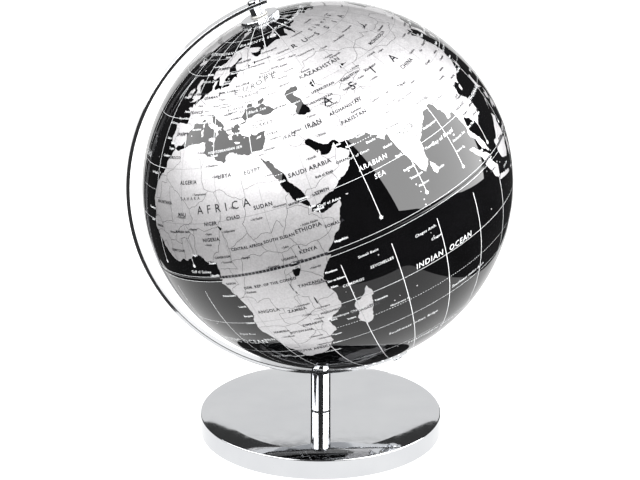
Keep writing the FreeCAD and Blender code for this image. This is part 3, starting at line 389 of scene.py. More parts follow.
BORDERS = """
    35.1 -2.2, 32.3 -1.2, 31 -3.6, 29.8 -5.3, 28.7 -8.7, 27.7 -8.7, 27.7 -13.1;
    27.7 -8.7, 26 -8.7, 26 -12, 23.3 -12, 21.3 -13, 21.3 -16.9; 27.3 -8.7, 25 -4.8, 21.1 1.2, 19.1 3.2,
    19.6 5.8, 23.5 12; 25 -4.8, 25 -6.6, 15.5 -5.5, 15.4 -9.3, 14.8 -12.2, 16.6 -14.5, 16 -16.4;
    23.5 12, 24.3 10.3, 26.5 9.5, 30.2 9.5, 32 9, 34 7.6, 35 8.3, 36.9 8.6; 30.2 9.5, 31.7 10.5, 33.1 11.5;
    31.6 25.1, 29.2 24.9, 22 25, 22 36.8; 22 25, 20 25, 20 24, 19.5 24, 23.4 15.9, 23 14.2, 23.5 12;
    19.5 24, 15.7 24, 13.5 22.2, 10.9 22.9, 9 19, 7.5 15.5; 23 14.2, 20.2 15.5, 16.9 15.5, 13.7 13.4,
    13.2 10, 12.9 8, 13.7 6.2, 13.7 4.1, 11.7 3.6, 9 2.8, 6.4 2.7; 19.1 3.2, 16.5 4.2, 15.3 3.6, 15 0.3,
    12.7 2.1, 11.7 3.6; 13.1 14.1, 11.6 13.5, 10 13.2, 7 11.7, 6.9 10.6, 4.8 8.6; 13.1 14.4, 10 15.5,
    7.5 15.5, 4 15, 1.7 16.1, 2.2 13.3, 2.2 11.3, 2.3 9.8; 2.2 13.3, -1.4 14.4, -2.4 11.6, -3.9 11.1;
    4.3 18.6, 5 22.4, 4.1 24.5, 5 27.4, 8.6 24.2, 10.9 22.9; 8.6 24.2, 9.8 27, 9.3 30, 12.2 32.7, 10 33.9;
    4 15, 4.3 18.6, 1.7 17.8, -2 16.2, -4.3 15.3, -5.9 12.5; -5.9 12.3, -5.9 16.6, -8 17.5, -7 20,
    -7.3 21.8, -11 22.2, -11.2 24, -12 27, -13.4 29.2, -12.2 29.5, -8.4 28.9, -8.2 30.8;
    -11.2 24, -13 24, -13 22, -16.2 22, -17.6 23.4; -17.3 11.8, -17.4 18.4, -18 21.4, -17.6 23.4,
    -17.8 25.3, -20.5 27.7, -22.2 29.4; -18.3 21, -22 21, -22 20, -28.4 20, -28.6 16.5; -24.8 20,
    -26.8 20.7, -25.5 25.5, -22.2 29.4, -22.4 31.3, -25.8 32, -26.8 32.8; -17.8 25.3, -16.5 28.8,
    -15.6 30.4, -16.5 32.9, -19.7 32.9, -22.4 31.3; -28.7 28.8, -30 29.2, -30.5 28, -29.6 27.1, -28.7 28.8;
    -15.6 30.4, -14 33.2, -14.5 34.6, -17 35.2, -15.9 35.8, -11.6 34.9, -11.4 37.5, -10.5 40.3;
    -14 33.2, -11.5 33, -9.5 33, -8.7 31.2; -1 34, -3.2 37.5, -4.7 39.2; -1 30.5, -1 34, 1 34.6, 4.2 34;
    4.6 35.9, 3.6 38.2, 4.1 41.5, -1.7 41.6; 4.1 41.5, 4.9 44.9, 8 48, 9.2 44.5, 11 42.9, 11 41.8,
    12.7 42.4, 14.5 39, 14.3 36.5, 12.7 36, 9.5 34.1, 8 33.2, 4.6 35.9; 14.3 36.5, 17 37, 18 38.5, 22 36.5;
    3.6 30.9, 3.8 33, 4.6 35.9; 5 27.4, 4.3 29, 3.6 30.9, 2.3 31, 0 29.7, -1.3 29.6, -2.6 29, -4.4 29.5;
    -1.3 29.6, -1 30.5, -2.4 30.7, -4.4 29.7; 14.8 -12.2, 12.4 -11.4, 12.7 -13.7, 12.3 -16.6;
    12.4 -11.4, 12 -9.3, 10.3 -8.3, 7.6 -8.4, 4.4 -7.5; 9 -13.2, 10 -11.2, 8.4 -10.7, 6.9 -11.4;
    10.3 -8.3, 10.4 -5.5, 9.5 -2.7, 5.1 -3.1; 9.5 -2.7, 11 -2.8, 11.1 0, 6.1 1.2; 10.4 -5.5, 12.3 -4.4,
    14.2 -2, 15 0.3; 11.1 0, 11.1 0.9, 6.3 1.7; 11.1 0.9, 12.4 2.2; 16.4 42.8, 17.4 44, 17 46.3, 18.7 49,
    19 52, 16.6 53.1; 19 52, 20 55, 22.7 55.2, 22.9 52.6, 24.2 51.4; 22.7 55.2, 24.9 56.2; 29.3 35,
    29.2 36, 30 38, 31.5 37, 32.2 39.2, 31 42.4, 29.2 44.7, 29.1 46.5, 28.5 48.4; 29.1 46.5, 30 48;
    30 48.5, 31 47.7, 33 46, 35 45.8, 37.1 44.8, 37.2 42.4, 36.8 40, 36.7 37, 36 36; 37.1 42.3, 34.5 41,
    33.4 38.8, 32.3 36.9, 32.7 35.8, 31.5 35.5, 29.6 34.9, 31.2 34.3; 33.4 38.8, 32.2 39.2; 33.1 35.2,
    34.6 36.4; 37.1 44.8, 39.4 44.4, 41.1 43.5, 41.5 41.6; 39.4 44.4, 38.9 46.5, 38.4 48.8; 43.4 40,
    42.7 44, 41.8 46.5, 41.8 48.5; 41.1 43.5, 41.2 45, 39.2 46.5; 37.3 54, 38 56, 37.5 59, 35.6 61.2,
    31.5 61.7, 29.8 60.9, 27.2 63, 25.2 61.6; 29.8 60.9, 29.5 64.5, 31.5 67, 33.9 70, 36.9 72, 37 74.7;
    35.6 61.2, 35.3 63, 37.3 66.5, 37.2 68.5, 38.4 71, 36.9 72; 41.3 56, 42.5 58.5, 40 62.3, 37.3 66.5;
    42 54, 41.3 56, 45 56, 45.6 58.6, 43.6 62, 41.2 66.6, 42.2 70.9, 42.9 74, 42.2 80.2, 40.4 75,
    39.4 73.7, 37 74.7; 42.2 70.9, 40.2 73, 39.4 73.7; 39.5 67.5, 41 69.5, 40 70.5, 39.4 73.7;
    46.3 48.5, 48.5 46.7, 50 48, 51.5 52, 50.6 58, 52 61, 54 61.4, 54.4 69, 55.3 70.8, 54 76, 51 80,
    50.8 83.5, 49.1 87.3, 47 85.5, 45.2 82.5, 44.9 80, 42.2 80.2; 37 74.7, 34.5 77, 32.5 75, 30 73.5,
    27.9 70, 24.4 71, 23.7 68.3; 37 74.7, 35.5 78, 32.6 79, 30.3 81.2, 28.2 85.5, 27.9 88.1; 30.3 81.2,
    28.8 80.1, 27.4 84, 26.4 87.5, 27.9 88.1, 28.2 90, 27.8 91.7, 26.8 92, 26.8 89; 27.8 91.7, 29.4 95,
    28.3 97.3; 21.8 89, 24.3 88.1, 26.4 88.5, 25.2 89.9, 25 92, 23.7 91.2, 22 92.6, 20.8 92.3;
    22 92.6, 24 94.2, 27 96, 28.3 97.3, 24 97.6, 21.5 101.2, 20.3 100.1, 18.5 97.6, 15 98.4, 10 98.7;
    21.5 101.2, 22.5 102.2, 20.5 104.5, 18.4 105.5, 15.5 107.5, 14.5 107.5, 11.8 106, 10.5 104.5;
    20.3 100.1, 17.9 102, 18.4 104, 15.3 105.5, 14.3 105.3, 14.4 103, 13.6 102.4, 12 102.7;
    22.5 102.2, 23.3 105.3, 21.6 108; 6.5 100.2, 5.8 101.2, 6.2 102; 49.1 87.3, 50.8 92, 50 98, 52 99,
    50.4 103, 49.3 107.5, 50 112, 49.8 116.7, 46.7 119.8, 45 113, 42.5 109, 42.7 100, 45 95.4, 45.2 91,
    49.1 87.3; 49.8 116.7, 53.3 121, 53.2 125, 49.5 129, 47.7 131, 48.4 134.8, 45.2 133, 42.6 130.6;
    42.4 130.6, 41.5 128, 40 124.4; 37.9 125.6, 38.5 128.3; 60.6 27.8, 62.8 31.3, 66 29.8, 69 28.8,
    69.8 30.8; 59 11.3, 61 12.5, 63.5 12, 66 15, 68.5 18, 69 20.5, 67 23.7, 65.8 24.2; 69 20.5, 70 27,
    69 28.8; 59.4 28, 56 28.2, 54.5 31, 52.3 31.8, 50.3 38, 49.5 40, 47.2 38.3; 56 28.2, 55 26, 53.9 23.6,
    51.6 23.6, 51.9 30, 52.3 31.8; 54.4 19.7, 54.4 22.8, 51.6 23.6, 49.1 22.6, 49.5 18.8, 50.9 14.8,
    53.9 14.3; 53.3 7.1, 51 6, 49.5 6.3, 49 8.2, 47.6 7.6, 47.6 13, 48.8 13.8, 50.9 14.8; 43.4 -1.8,
    42.4 3.1; 41.9 -8.8, 41.9 -6.5, 39 -7.3, 37.2 -7.4; 47.6 7.6, 46.3 6.1, 45 6.8, 43.8 7.5; 45.9 7,
    46 9, 46.9 10.5, 46.5 13.7; 51.1 2.5, 49.5 6.2; 48.8 16.9, 46.5 16.2, 45.6 13.9; 46 16.5, 45.8 18.8,
    46.1 20.3, 48 22.8, 48.2 26.7, 45.5 28.2; 46.1 20.3, 44.6 22.5, 43.7 25, 44 28.5; 44.6 22.5, 42.3 22.4,
    41.3 22.9, 41.6 26.3, 40.8 26; 44.8 19, 43.2 19, 42.3 20, 40 20.8; 49 -123, 49 -95.2, 48.1 -90;
    43.3 -79, 45 -74.7, 45 -71.5, 47.4 -69, 45.2 -67.4; 69.6 -141, 60.3 -141, 59 -136, 56 -130.5;
    32.5 -117, 31.3 -111, 31.8 -106.5, 29 -103, 29.8 -101.5, 26 -97.5; 14.5 -92.2, 17.8 -91, 17.8 -89.2;
    15.7 -88.5, 14 -89.4, 13.3 -87.8; 15 -83.5, 13.8 -86, 13 -87.2; 11 -84, 11.1 -85.6; 11.8 -71.4, 8 -72.5,
    7 -70, 6.2 -67.5, 1.2 -66.9, 0.5 -70, -4.2 -70, -2.3 -73, 0.2 -76, 1.4 -78.7; 0 -75.3, -3 -78, -5 -79.3,
    -3.5 -80; 1.2 -66.9, 4 -64.5, 5 -60.7, 8.2 -60; 5 -60.7, 1.3 -59, 2 -56, 2.2 -54.5, 4.2 -51.8;
    2 -56, 5.8 -57.1; 2.2 -54.5, 5.6 -54; -4.2 -70, -7.3 -73.8, -9.5 -72, -11 -69.6, -17.5 -69.5,
    -18.3 -70.2; -11 -69.6, -9.8 -65.4, -13.5 -61, -16.3 -60.2, -18 -57.6, -20 -58, -19.3 -61.7, -22 -62.7,
    -22 -66.2, -22.9 -67.8, -17.5 -69.5; -22.9 -67.8, -27 -68.7, -33 -70, -38 -71, -43 -71.7, -49 -73,
    -52 -71.9, -52.3 -68.8; -20 -58, -22.2 -56, -24 -54.3, -27.3 -55.8, -27.3 -58.6, -25.3 -57.6, -22 -62.7;
    -25.6 -54.5, -28 -56, -30.2 -57.6, -33.8 -58.3; -30.2 -57.6, -31 -54.5, -33.6 -53.5; 1.8 109.7, 1 110.5,
    1.4 114, 4.2 117.5; -2.7 141, -9 141; -14.9 129, -31.5 129; -26 129, -26 141, -29 141, -28.3 153.4;
    -16.6 138, -26 138; -29 141, -34 141, -37.9 141; -34 141, -36.5 147, -37.4 149.8
"""
# names as "latitude longitude size name", with the size of the letters in mm
SEA_NAMES = """
    -13.6 69.2 4 INDIAN; -13.9 80.9 4 OCEAN; -28 84 2.2 Southeast Indian Basin;
    -35 60 2.4 Southwest Indian Ridge; 16.9 64.3 3.2 ARABIAN; 13.3 64.5 3.2 SEA;
    13 88.5 2.4 Bay of Bengal; 10.3 94 1.7 Andaman Sea; 12.2 48.4 1.8 Gulf of Aden;
    20.5 61.5 1.7 Gulf of Oman; -19 40.5 1.8 Mozambique Channel; 33.9 19.6 1.7 MEDITERRANEAN SEA;
    43.3 34.4 2 Black Sea; 41.5 51 1.5 Caspian Sea; 57.5 3.5 2 North Sea; 56.5 19.5 1.3 Baltic Sea;
    72 38 2.8 BARENTS SEA; 69 2 2.6 NORWEGIAN SEA; 76 80 2.6 KARA SEA; 76 123 2.6 LAPTEV SEA;
    82 20 3 ARCTIC OCEAN; -3 53 1.7 Somali Basin; -8 73 1.7 Chagos; -33 8 2.4 Cape Basin;
    -24 -10 4.4 SOUTH ATLANTIC OCEAN; -20 5 1.8 Angola Basin; 1.5 2 2 Gulf of Guinea;
    32 -42 4.4 ATLANTIC OCEAN; 45 -4.6 1.6 Bay of Biscay; 15 113 2.6 SOUTH CHINA SEA;
    18 132 2.6 PHILIPPINE SEA; 28.5 125.5 1.7 East China Sea; 40 134.5 1.9 Sea of Japan;
    54 149 2.2 Sea of Okhotsk; 56 178 2.6 BERING SEA; 10 165 4.6 PACIFIC OCEAN;
    -35 -130 4.6 SOUTH PACIFIC OCEAN; 25 -150 4.6 NORTH PACIFIC OCEAN; -17 154 2 Coral Sea;
    -38 160 2.2 Tasman Sea; 25 -90 2.2 Gulf of Mexico; 15 -75 2.2 CARIBBEAN SEA; 59 -86 2 Hudson Bay;
    57 -50 2.2 Labrador Sea; 72 -68 1.8 Baffin Bay; 58 -146 2.2 Gulf of Alaska; -5.2 112 1.6 Java Sea;
    -10 128 1.6 Timor Sea; -33 130 2 Great Australian Bight; -47 70 3 SOUTHERN OCEAN;
    -44 -50 2.2 Argentine Basin; -58 -35 2.2 Scotia Sea; 7.5 92 1.3 Nicobar Is.;
    -22.5 57 1.6 Mascarene Is.; -7.3 55.6 1.9 SEYCHELLES; -9.7 46.2 1.9 COMOROS;
    -4.7 70.5 1.9 Chagos Arch.; 5.3 75.3 1.5 Maldives
"""
LAND_NAMES = """
    18.5 16.5 5.5 A F R I C A; 51.3 24.7 4.2 E; 51.8 29.6 4.2 U; 52.1 33.6 4.2 R; 52.6 37.1 4.2 O;
    53 41 4.2 P; 53.2 44.8 4.2 E; 37.8 61 6 A; 38.4 72.4 6 S; 39.3 84 6 I; 38.6 95.6 6 A;
    61.7 63.5 4.2 R; 61.9 72.2 4.2 U; 61.7 82.3 4.2 S; 61.6 92 4.2 S; 61.4 101.5 4.2 I; 61.2 111 4.2 A;
    26.8 18.9 2.6 LIBYA; 26.2 3.4 2.6 ALGERIA; 26.4 29 2.6 EGYPT; 16.7 29.9 2.6 SUDAN;
    15.4 19.6 2.4 CHAD; 14.7 11.1 2.4 NIGER; 17.5 -0.4 2.4 MALI; 10.4 10 2.4 NIGERIA;
    7.8 40.4 2.6 ETHIOPIA; 6.6 47.6 2 SOMALIA; 2.3 38.2 2.4 KENYA; -2.8 23.8 2 DEM. REP. OF THE CONGO;
    -5.6 35.2 2.2 TANZANIA; -11.4 19.2 2.6 ANGOLA; -12.9 27.8 2.4 ZAMBIA; -16.4 37.6 1.7 MOZAMBIQUE;
    -19.2 29.8 1.9 ZIMBABWE; -21.2 25 2 BOTSWANA; -20 18.6 2 NAMIBIA; -30.8 23.4 2.6 SOUTH AFRICA;
    -19.6 46.6 1.9 MADAGASCAR; 7.1 21.4 1.9 CENTRAL AFRICA; 5.4 12.4 1.5 CAMEROON;
    7.4 31.6 2 SOUTH SUDAN; 1.6 32.4 1.6 UGANDA; 33.2 -5.5 1.8 MOROCCO; 20.5 -9.8 2 MAURITANIA;
    13.6 -14 1.4 SENEGAL; 7.4 -5.6 1.5 IVORY COAST; 12.8 -1.3 1.4 BURKINA FASO; 34.2 9.4 1.3 TUNISIA;
    -0.9 11.8 1.5 GABON; 15 39 1.3 ERITREA; 22.2 46.6 2.8 SAUDI ARABIA; 15.6 47.6 2 YEMEN;
    20.8 56.4 1.8 OMAN; 32.6 43.9 2.4 IRAQ; 33.3 53 3.2 IRAN; 38.5 35.6 2.6 TURKEY; 35 38.6 1.8 SYRIA;
    30.9 36.4 1.2 JORDAN; 33.8 65.6 2.2 AFGHANISTAN; 30.1 66.2 2.6 PAKISTAN; 20 78.6 3.4 INDIA;
    27.6 84 1.5 NEPAL; 24.2 90.1 1.2 BANGLADESH; 21.6 95.8 1.8 MYANMAR; 16 101.8 1.8 THAILAND;
    18.6 103.8 1.3 LAOS; 14 108 1.3 VIETNAM; 34.7 98 3 CHINA; 46.6 101.8 2.6 MONGOLIA;
    48.7 66.5 3 KAZAKHSTAN; 42.2 62.4 1.8 UZBEKISTAN; 39.2 58.9 1.6 TURKMENISTAN;
    41.6 74.6 1.5 KYRGYZSTAN; 38.5 71.5 1.3 TAJIKISTAN; 31 88.4 2.2 Tibet; 40.5 84 2 Xinjiang;
    65 96 3.4 S i b e r i a; 54.5 42 2.4 RUSSIA; 49.2 31.2 2.2 UKRAINE; 52.3 19.2 2 POLAND;
    51.4 10.2 2 GERMANY; 46.8 2.4 2.2 FRANCE; 40 -3.8 2.2 SPAIN; 42.9 12.2 1.5 ITALY;
    45.8 24.8 1.7 ROMANIA; 53.6 28 1.6 BELARUS; 62 15.4 1.8 SWEDEN; 62.2 9.4 1.8 NORWAY;
    63.4 26.6 1.8 FINLAND; 42.6 25.4 1.3 BULGARIA; 39.6 22 1.3 GREECE; 44.4 20.8 1.2 SERBIA;
    47.2 19.3 1.2 HUNGARY; 53 -1.6 1.5 UNITED KINGDOM; 42 44 1.3 GEORGIA; 36.5 138.4 1.4 JAPAN;
    40 127 1.4 KOREA; -24.5 134 4.6 AUSTRALIA; -2.4 102.4 1.5 Sumatra; 0.6 114.4 1.8 Borneo;
    -5.2 143 1.6 New Guinea; 74 -41 3 GREENLAND; 58 -104 4 C A N A D A; 39.5 -99 3.4 UNITED STATES;
    24 -102.5 2.4 MEXICO; 65 -152 2.4 ALASKA; -9 -53 4.4 BRAZIL; -36 -65.5 2.8 ARGENTINA;
    -10 -75.3 2 PERU; 4 -73 2 COLOMBIA; 7.4 -65 1.8 VENEZUELA; -17 -64.5 2 BOLIVIA;
    -82 60 4.6 ANTARCTICA; 72 128 1.6 Yakutia; 45 -112 3 NORTH AMERICA; -14 -58 2.2 SOUTH AMERICA;
    21.8 4 2.2 S A H A R A; 19 50 1.5 Rub al Khali
"""
# cities as "latitude longitude name": inland, then on shores that face east and west
INLAND_CITIES = """
    30.1 31.2 Cairo, 15.6 32.5 Khartoum, 9 38.7 Addis Ababa, -1.3 36.8 Nairobi, 12.1 15 Ndjamena,
    9.1 7.4 Abuja, 12.6 -8 Bamako, 13.5 2.1 Niamey, 12 8.5 Kano, 4.4 18.6 Bangui, 3.9 11.5 Yaounde,
    0.5 25.2 Kisangani, -4.3 15.3 Kinshasa, -11.7 27.5 Lubumbashi, -15.4 28.3 Lusaka, -17.8 31 Harare,
    -24.6 25.9 Gaborone, -22.6 17.1 Windhoek, -26.2 28 Johannesburg, -29.1 26.2 Bloemfontein,
    -6.2 35.8 Dodoma, 0.3 32.6 Kampala, 4.8 31.6 Juba, -14 33.8 Lilongwe, -18.9 47.5 Antananarivo,
    27 14.4 Sebha, 24.1 32.9 Aswan, 22.8 5.5 Tamanrasset, 16.8 -3 Timbuktu, 24.7 46.7 Riyadh,
    15.4 44.2 Sanaa, 33.3 44.4 Baghdad, 35.7 51.4 Tehran, 32.7 51.7 Esfahan, 36.3 59.6 Mashhad,
    29.6 52.5 Shiraz, 38.1 46.3 Tabriz, 39.9 32.9 Ankara, 33.5 36.3 Damascus, 34.5 69.2 Kabul,
    31.6 65.7 Kandahar, 31.5 74.3 Lahore, 28.6 77.2 New Delhi, 26.9 75.8 Jaipur, 26.8 80.9 Lucknow,
    23 72.6 Ahmadabad, 21.1 79.1 Nagpur, 17.4 78.5 Hyderabad, 13 77.6 Bangalore, 23.8 90.4 Dhaka,
    27.7 85.3 Kathmandu, 29.7 91.1 Lhasa, 41.3 69.3 Tashkent, 43.2 76.9 Almaty, 51.2 71.4 Astana,
    38 58.4 Ashgabat, 39.5 76 Kashi, 43.8 87.6 Urumqi, 36.1 103.8 Lanzhou, 34.3 108.9 Xian,
    30.7 104.1 Chengdu, 39.9 116.4 Beijing, 30.6 114.3 Wuhan, 25 102.7 Kunming, 47.9 106.9 Ulaanbaatar,
    52.3 104.3 Irkutsk, 56 92.9 Krasnoyarsk, 55 82.9 Novosibirsk, 55 73.4 Omsk, 56.8 60.6 Yekaterinburg,
    55.8 49.1 Kazan, 55.75 37.6 Moscow, 59.9 30.3 St Petersburg, 48.7 44.5 Volgograd, 46.9 7.4 Bern,
    50.1 14.4 Prague, 45.5 9.2 Milan, 44.8 20.5 Belgrade, 42.7 23.3 Sofia, 53.9 27.6 Minsk,
    50 36.2 Kharkov, 47.2 39.7 Rostov, 56.3 44 Gorki, 53.2 50.1 Samara, 51.5 46 Saratov, 58 56.2 Perm,
    45.8 4.8 Lyon, 48.1 11.6 Munich, 49.8 24 Lvov, 47 28.8 Kishinev, 61.7 34.3 Petrozavodsk,
    64.6 40.5 Arkhangelsk, 61.7 50.8 Syktyvkar, 22.8 108.3 Nanning, 26.6 106.7 Guiyang,
    28.2 113 Changsha, 34.8 113.7 Zhengzhou, 41.8 123.4 Shenyang, 45.8 126.5 Harbin, 40.8 111.7 Hohhot,
    42.8 93.5 Hami, 37.1 79.9 Hotan, 21 105.8 Hanoi, 17.9 102.6 Vientiane, 13.7 100.5 Bangkok,
    11.6 104.9 Phnom Penh, 25.6 85.1 Patna, 22.7 75.9 Indore, 31.6 80.1 Gar, 62 74 Surgut, 66 107 Tura,
    67.5 133.4 Verkhoyansk, 58.6 49.7 Kirov, 30.2 12 Ghadamis, 13.8 25.2 Al Fashir, 18 19.2 Faya,
    50.5 30.5 Kiev, 52.2 21 Warsaw, 52.5 13.4 Berlin, 48.2 16.4 Vienna, 48.9 2.3 Paris,
    40.4 -3.7 Madrid, 44.4 26.1 Bucharest, 62 129.7 Yakutsk, 69.4 88.2 Norilsk, 66.5 66.6 Salekhard,
    50.3 57.2 Aktobe, 49.8 73.1 Karaganda
"""
SHORE_CITIES = """
    2 45.3 Mogadishu, -4 39.7 Mombasa, -6.8 39.3 Dar es Salaam, -19.8 34.9 Beira, -26 32.6 Maputo,
    -29.9 31 Durban, -34 25.6 Port Elizabeth, 11.6 43.1 Djibouti, 23.6 58.6 Muscat, 25.3 55.3 Dubai,
    31.2 29.9 Alexandria, 32.1 20.1 Benghazi, 32.9 13.2 Tripoli, 10.3 99 Surat Thani, 13.1 80.3 Chennai,
    17.7 83.3 Visakhapatnam, 20.1 92.9 Sittwe, 15.6 39.5 Massawa, -18.2 49.4 Toamasina, -8.8 39.5 Kilwa,
    22.3 114.2 Hong Kong, 41.4 2.2 Barcelona, 43.3 5.4 Marseille, 40.9 14.3 Naples, 38 23.7 Athens,
    36.8 3.1 Algiers, 33.9 35.5 Beirut, 55.7 12.6 Copenhagen, 59.3 18.1 Stockholm, 60.2 25 Helsinki,
    57 24.1 Riga, 22.6 88.4 Calcutta, 16.8 96.2 Rangoon, 10.8 106.7 Saigon, 26.1 119.3 Fuzhou,
    23.1 113.3 Canton, 36.1 120.4 Qingdao, 35.2 129 Pusan, 6.9 79.9 Colombo, 31.2 121.9 Shanghai,
    -33.9 151.2 Sydney, 40.7 -73.8 New York, -22.9 -42 Rio de Janeiro, 35.7 140.8 Tokyo
"""
WEST_SHORE_CITIES = """
    19 72.8 Mumbai, 24.9 66.9 Karachi, 15.4 73.8 Panaji, 11.2 75.8 Kozhikode, 8.5 76.9 Trivandrum,
    21.5 39.1 Jeddah, 17 54.1 Salalah, 12.8 45 Aden, 22.3 69 Dwarka, -33.9 18.4 Cape Town,
    -22.9 14.5 Walvis Bay, -8.8 13.2 Luanda, -12.4 13.5 Benguela, 0.4 9.4 Libreville, 6.4 3.4 Lagos,
    14.7 -17.5 Dakar, 33.6 -7.6 Casablanca, 3.1 101.3 Klang, 51.9 -8.5 Cork, 43.4 -8.4 La Coruna,
    60.4 5.3 Bergen, 63.4 10.4 Trondheim, 67.3 14.4 Bodo, 47.2 -1.6 Nantes, 28.1 -15.4 Las Palmas,
    18.1 -16 Nouakchott, 37.4 -6 Seville, 35.8 -5.9 Tangier, 4 9.7 Douala, -15.2 12.2 Namibe,
    -4.8 11.8 Pointe Noire, 38.7 -9.5 Lisbon, -12 -77.1 Lima, 34.4 -120.5 Los Angeles,
    -21.8 43.3 Toliara
"""


# ---- small helpers -------------------------------------------------------------------------
def pairs(text):
    """The "latitude longitude" pairs of a written outline."""
    return [tuple(float(number) for number in item.split()) for item in text.split(",")]


def named_places(text, mark, count):
    """The name and the numbers of each item in a written list of "numbers name"."""
    for item in text.split(mark):
        *numbers, name = item.split(maxsplit=count)
        yield name, [float(number) for number in numbers]


def wrapped(angle):
    """An angle in degrees brought to -180..180."""
    return (angle + 180) % 360 - 180


def shown(latitude, longitude, half):
    """Where the printed map shows a place on one half: latitude on the ball, turn from the front."""
    turn = radians(wrapped(longitude - FRONT_LONGITUDE))
    turn += TURN_STRETCH * sin(turn)
    high = latitude + half * EQUATOR_SHIFT * (1 - abs(latitude) / 90)
    high += degrees(LATITUDE_STRETCH[half] * sin(2 * radians(latitude)) / 2)
    return high, degrees(turn)


def half_of(latitude, longitude):
    """The half of the ball on which a place is printed."""
    return NORTH_HALF if shown(latitude, longitude, NORTH_HALF)[0] >= 0 else SOUTH_HALF


def ball_point(high, turn, half, depth):
    """A point under one cap's surface, and the cap's outward normal there."""
    level = cos(radians(turn)) * FRONT + sin(radians(turn)) * EAST
    ray = cos(radians(high)) * level + sin(radians(high)) * AXIS
    cap_centre = CENTRE - half * CAP_OFFSET * AXIS
    along = ray.dot(CENTRE - cap_centre)
    reach = -along + sqrt(along ** 2 + CAP_RADIUS ** 2 - CAP_OFFSET ** 2)
    normal = (CENTRE + reach * ray - cap_centre).normalized()
    return cap_centre + normal * (CAP_RADIUS - depth), normal


def outward(face, half):
    """A face drawn for the north half, turned over where it is used on the south half."""
    return face if half == NORTH_HALF else face[::-1]


def crinkled(start, end, chance, step=COAST_STEP, rough=COAST_ROUGH):
    """Points from start up to end, with the small bays and capes of a coast between them."""
    north = end[0] - start[0]
    east = wrapped(end[1] - start[1])
    shrink = max(cos(radians((start[0] + end[0]) / 2)), LEAST_SHRINK)
    if hypot(north, east * shrink) < step:
        return [start]
    side = chance.uniform(-rough, rough)
    middle = (start[0] + north / 2 - side * east * shrink,
              start[1] + east / 2 + side * north / shrink)
    return crinkled(start, middle, chance, step, rough) + crinkled(middle, end, chance, step, rough)


def crinkled_ring(points, chance):
    """A closed coast through the given points."""
    ring = []
    for start, end in zip(points, points[1:] + points[:1]):
        ring += crinkled(start, end, chance)
    return ring


class Sheet:
    """One thin printed layer: its points, outward normals and faces."""

    def __init__(self):
        self.points = []
        self.normals = []
        self.faces = []

    def add(self, spots, faces):
        """Add spots of (point, normal), and faces that count from the first of these spots."""
        first = len(self.points)
        self.points += [point for point, normal in spots]
        self.normals += [normal for point, normal in spots]
        self.faces += [tuple(first + i for i in face) for face in faces]

    def piece(self, name, material):
        """Make the layer into one piece of the ball."""
        mesh = bpy.data.meshes.new(name)
        mesh.from_pydata(self.points, [], self.faces)
        mesh.shade_smooth()
        mesh.normals_split_custom_set_from_vertices(self.normals)
        map_piece(name, mesh, material)


def map_piece(name, mesh, material):
    """A piece that turns with the ball."""
    mesh.materials.append(material)
    piece = bpy.data.objects.new(name, mesh)
    bpy.context.collection.objects.link(piece)
    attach(piece, "globe")
    return piece


# ---- materials -----------------------------------------------------------------------------
class Material:
    """A Principled material whose even values sit on the shader's own sockets."""

    def __init__(self, name, **even):
        self.data = bpy.data.materials.new(name)
        self.data.use_nodes = True
        self.nodes = self.data.node_tree.nodes
        self.links = self.data.node_tree.links
        self.shader = self.nodes["Principled BSDF"]
        self.place = self.nodes.new("ShaderNodeTexCoord").outputs["Object"]
        for socket, value in even.items():
            self.shader.inputs[socket.replace("_", " ")].default_value = value

    def noise(self, scale, detail=3.0):
        """Noise over the object, with patches about 1 / scale metres wide."""
        noise = self.nodes.new("ShaderNodeTexNoise")
        noise.inputs["Scale"].default_value = scale
        noise.inputs["Detail"].default_value = detail
        self.links.new(self.place, noise.inputs["Vector"])
        return noise.outputs["Fac"]

    def vary(self, socket, low, high, source, start=0.3, end=0.7):
        """Let a number socket run from low to high as the source runs from start to end."""
        spread = self.nodes.new("ShaderNodeMapRange")
        spread.inputs["From Min"].default_value = start
        spread.inputs["From Max"].default_value = end
        spread.inputs["To Min"].default_value = low
        spread.inputs["To Max"].default_value = high
        self.links.new(source, spread.inputs["Value"])
        self.links.new(spread.outputs["Result"], self.shader.inputs[socket])

    def colours(self, source, *stops):
        """Run the base colour through stops of (place, (red, green, blue))."""
        ramp = self.nodes.new("ShaderNodeValToRGB")
        for element, (place, colour) in zip(ramp.color_ramp.elements, stops):
            element.position = place
            element.color = (*colour, 1)
        self.links.new(source, ramp.inputs["Fac"])
        self.links.new(ramp.outputs["Color"], self.shader.inputs["Base Color"])

    def bump(self, source, height):
        """Raise the surface by up to height metres where the source is 1."""
        bump = self.nodes.new("ShaderNodeBump")
        bump.inputs["Distance"].default_value = height
        self.links.new(source, bump.inputs["Height"])
        self.links.new(bump.outputs["Normal"], self.shader.inputs["Normal"])


def sea_material():
    """Gloss black lacquer."""
    made = Material("sea_lacquer", IOR=1.5)
    made.colours(made.noise(22), (0.35, (0.0010, 0.0010, 0.0012)), (0.7, (0.0024, 0.0024, 0.0027)))
    made.vary("Roughness", 0.008, 0.024, made.noise(60, 5))
    return made.data


def land_material():
    """Silver ink under a clear coat."""
    made = Material("land_silver_ink", Metallic=0.88, Coat_Weight=1.0, Coat_Roughness=0.012)
    mottle = made.noise(900, 4)
    made.colours(mottle, (0.3, (0.60, 0.59, 0.60)), (0.7, (0.73, 0.72, 0.73)))
    made.vary("Roughness", 0.52, 0.60, made.noise(240, 4))
    made.bump(made.noise(5000, 2), 0.000004)
    return made.data


def ink_material(name, dark, light):
    """Flat printing ink under a clear coat."""
    made = Material(name, Specular_IOR_Level=0.1, Coat_Weight=1.0, Coat_Roughness=0.012)
    made.colours(made.noise(1500, 2), (0.35, dark), (0.65, light))
    made.vary("Roughness", 0.25, 0.40, made.noise(500))
    return made.data


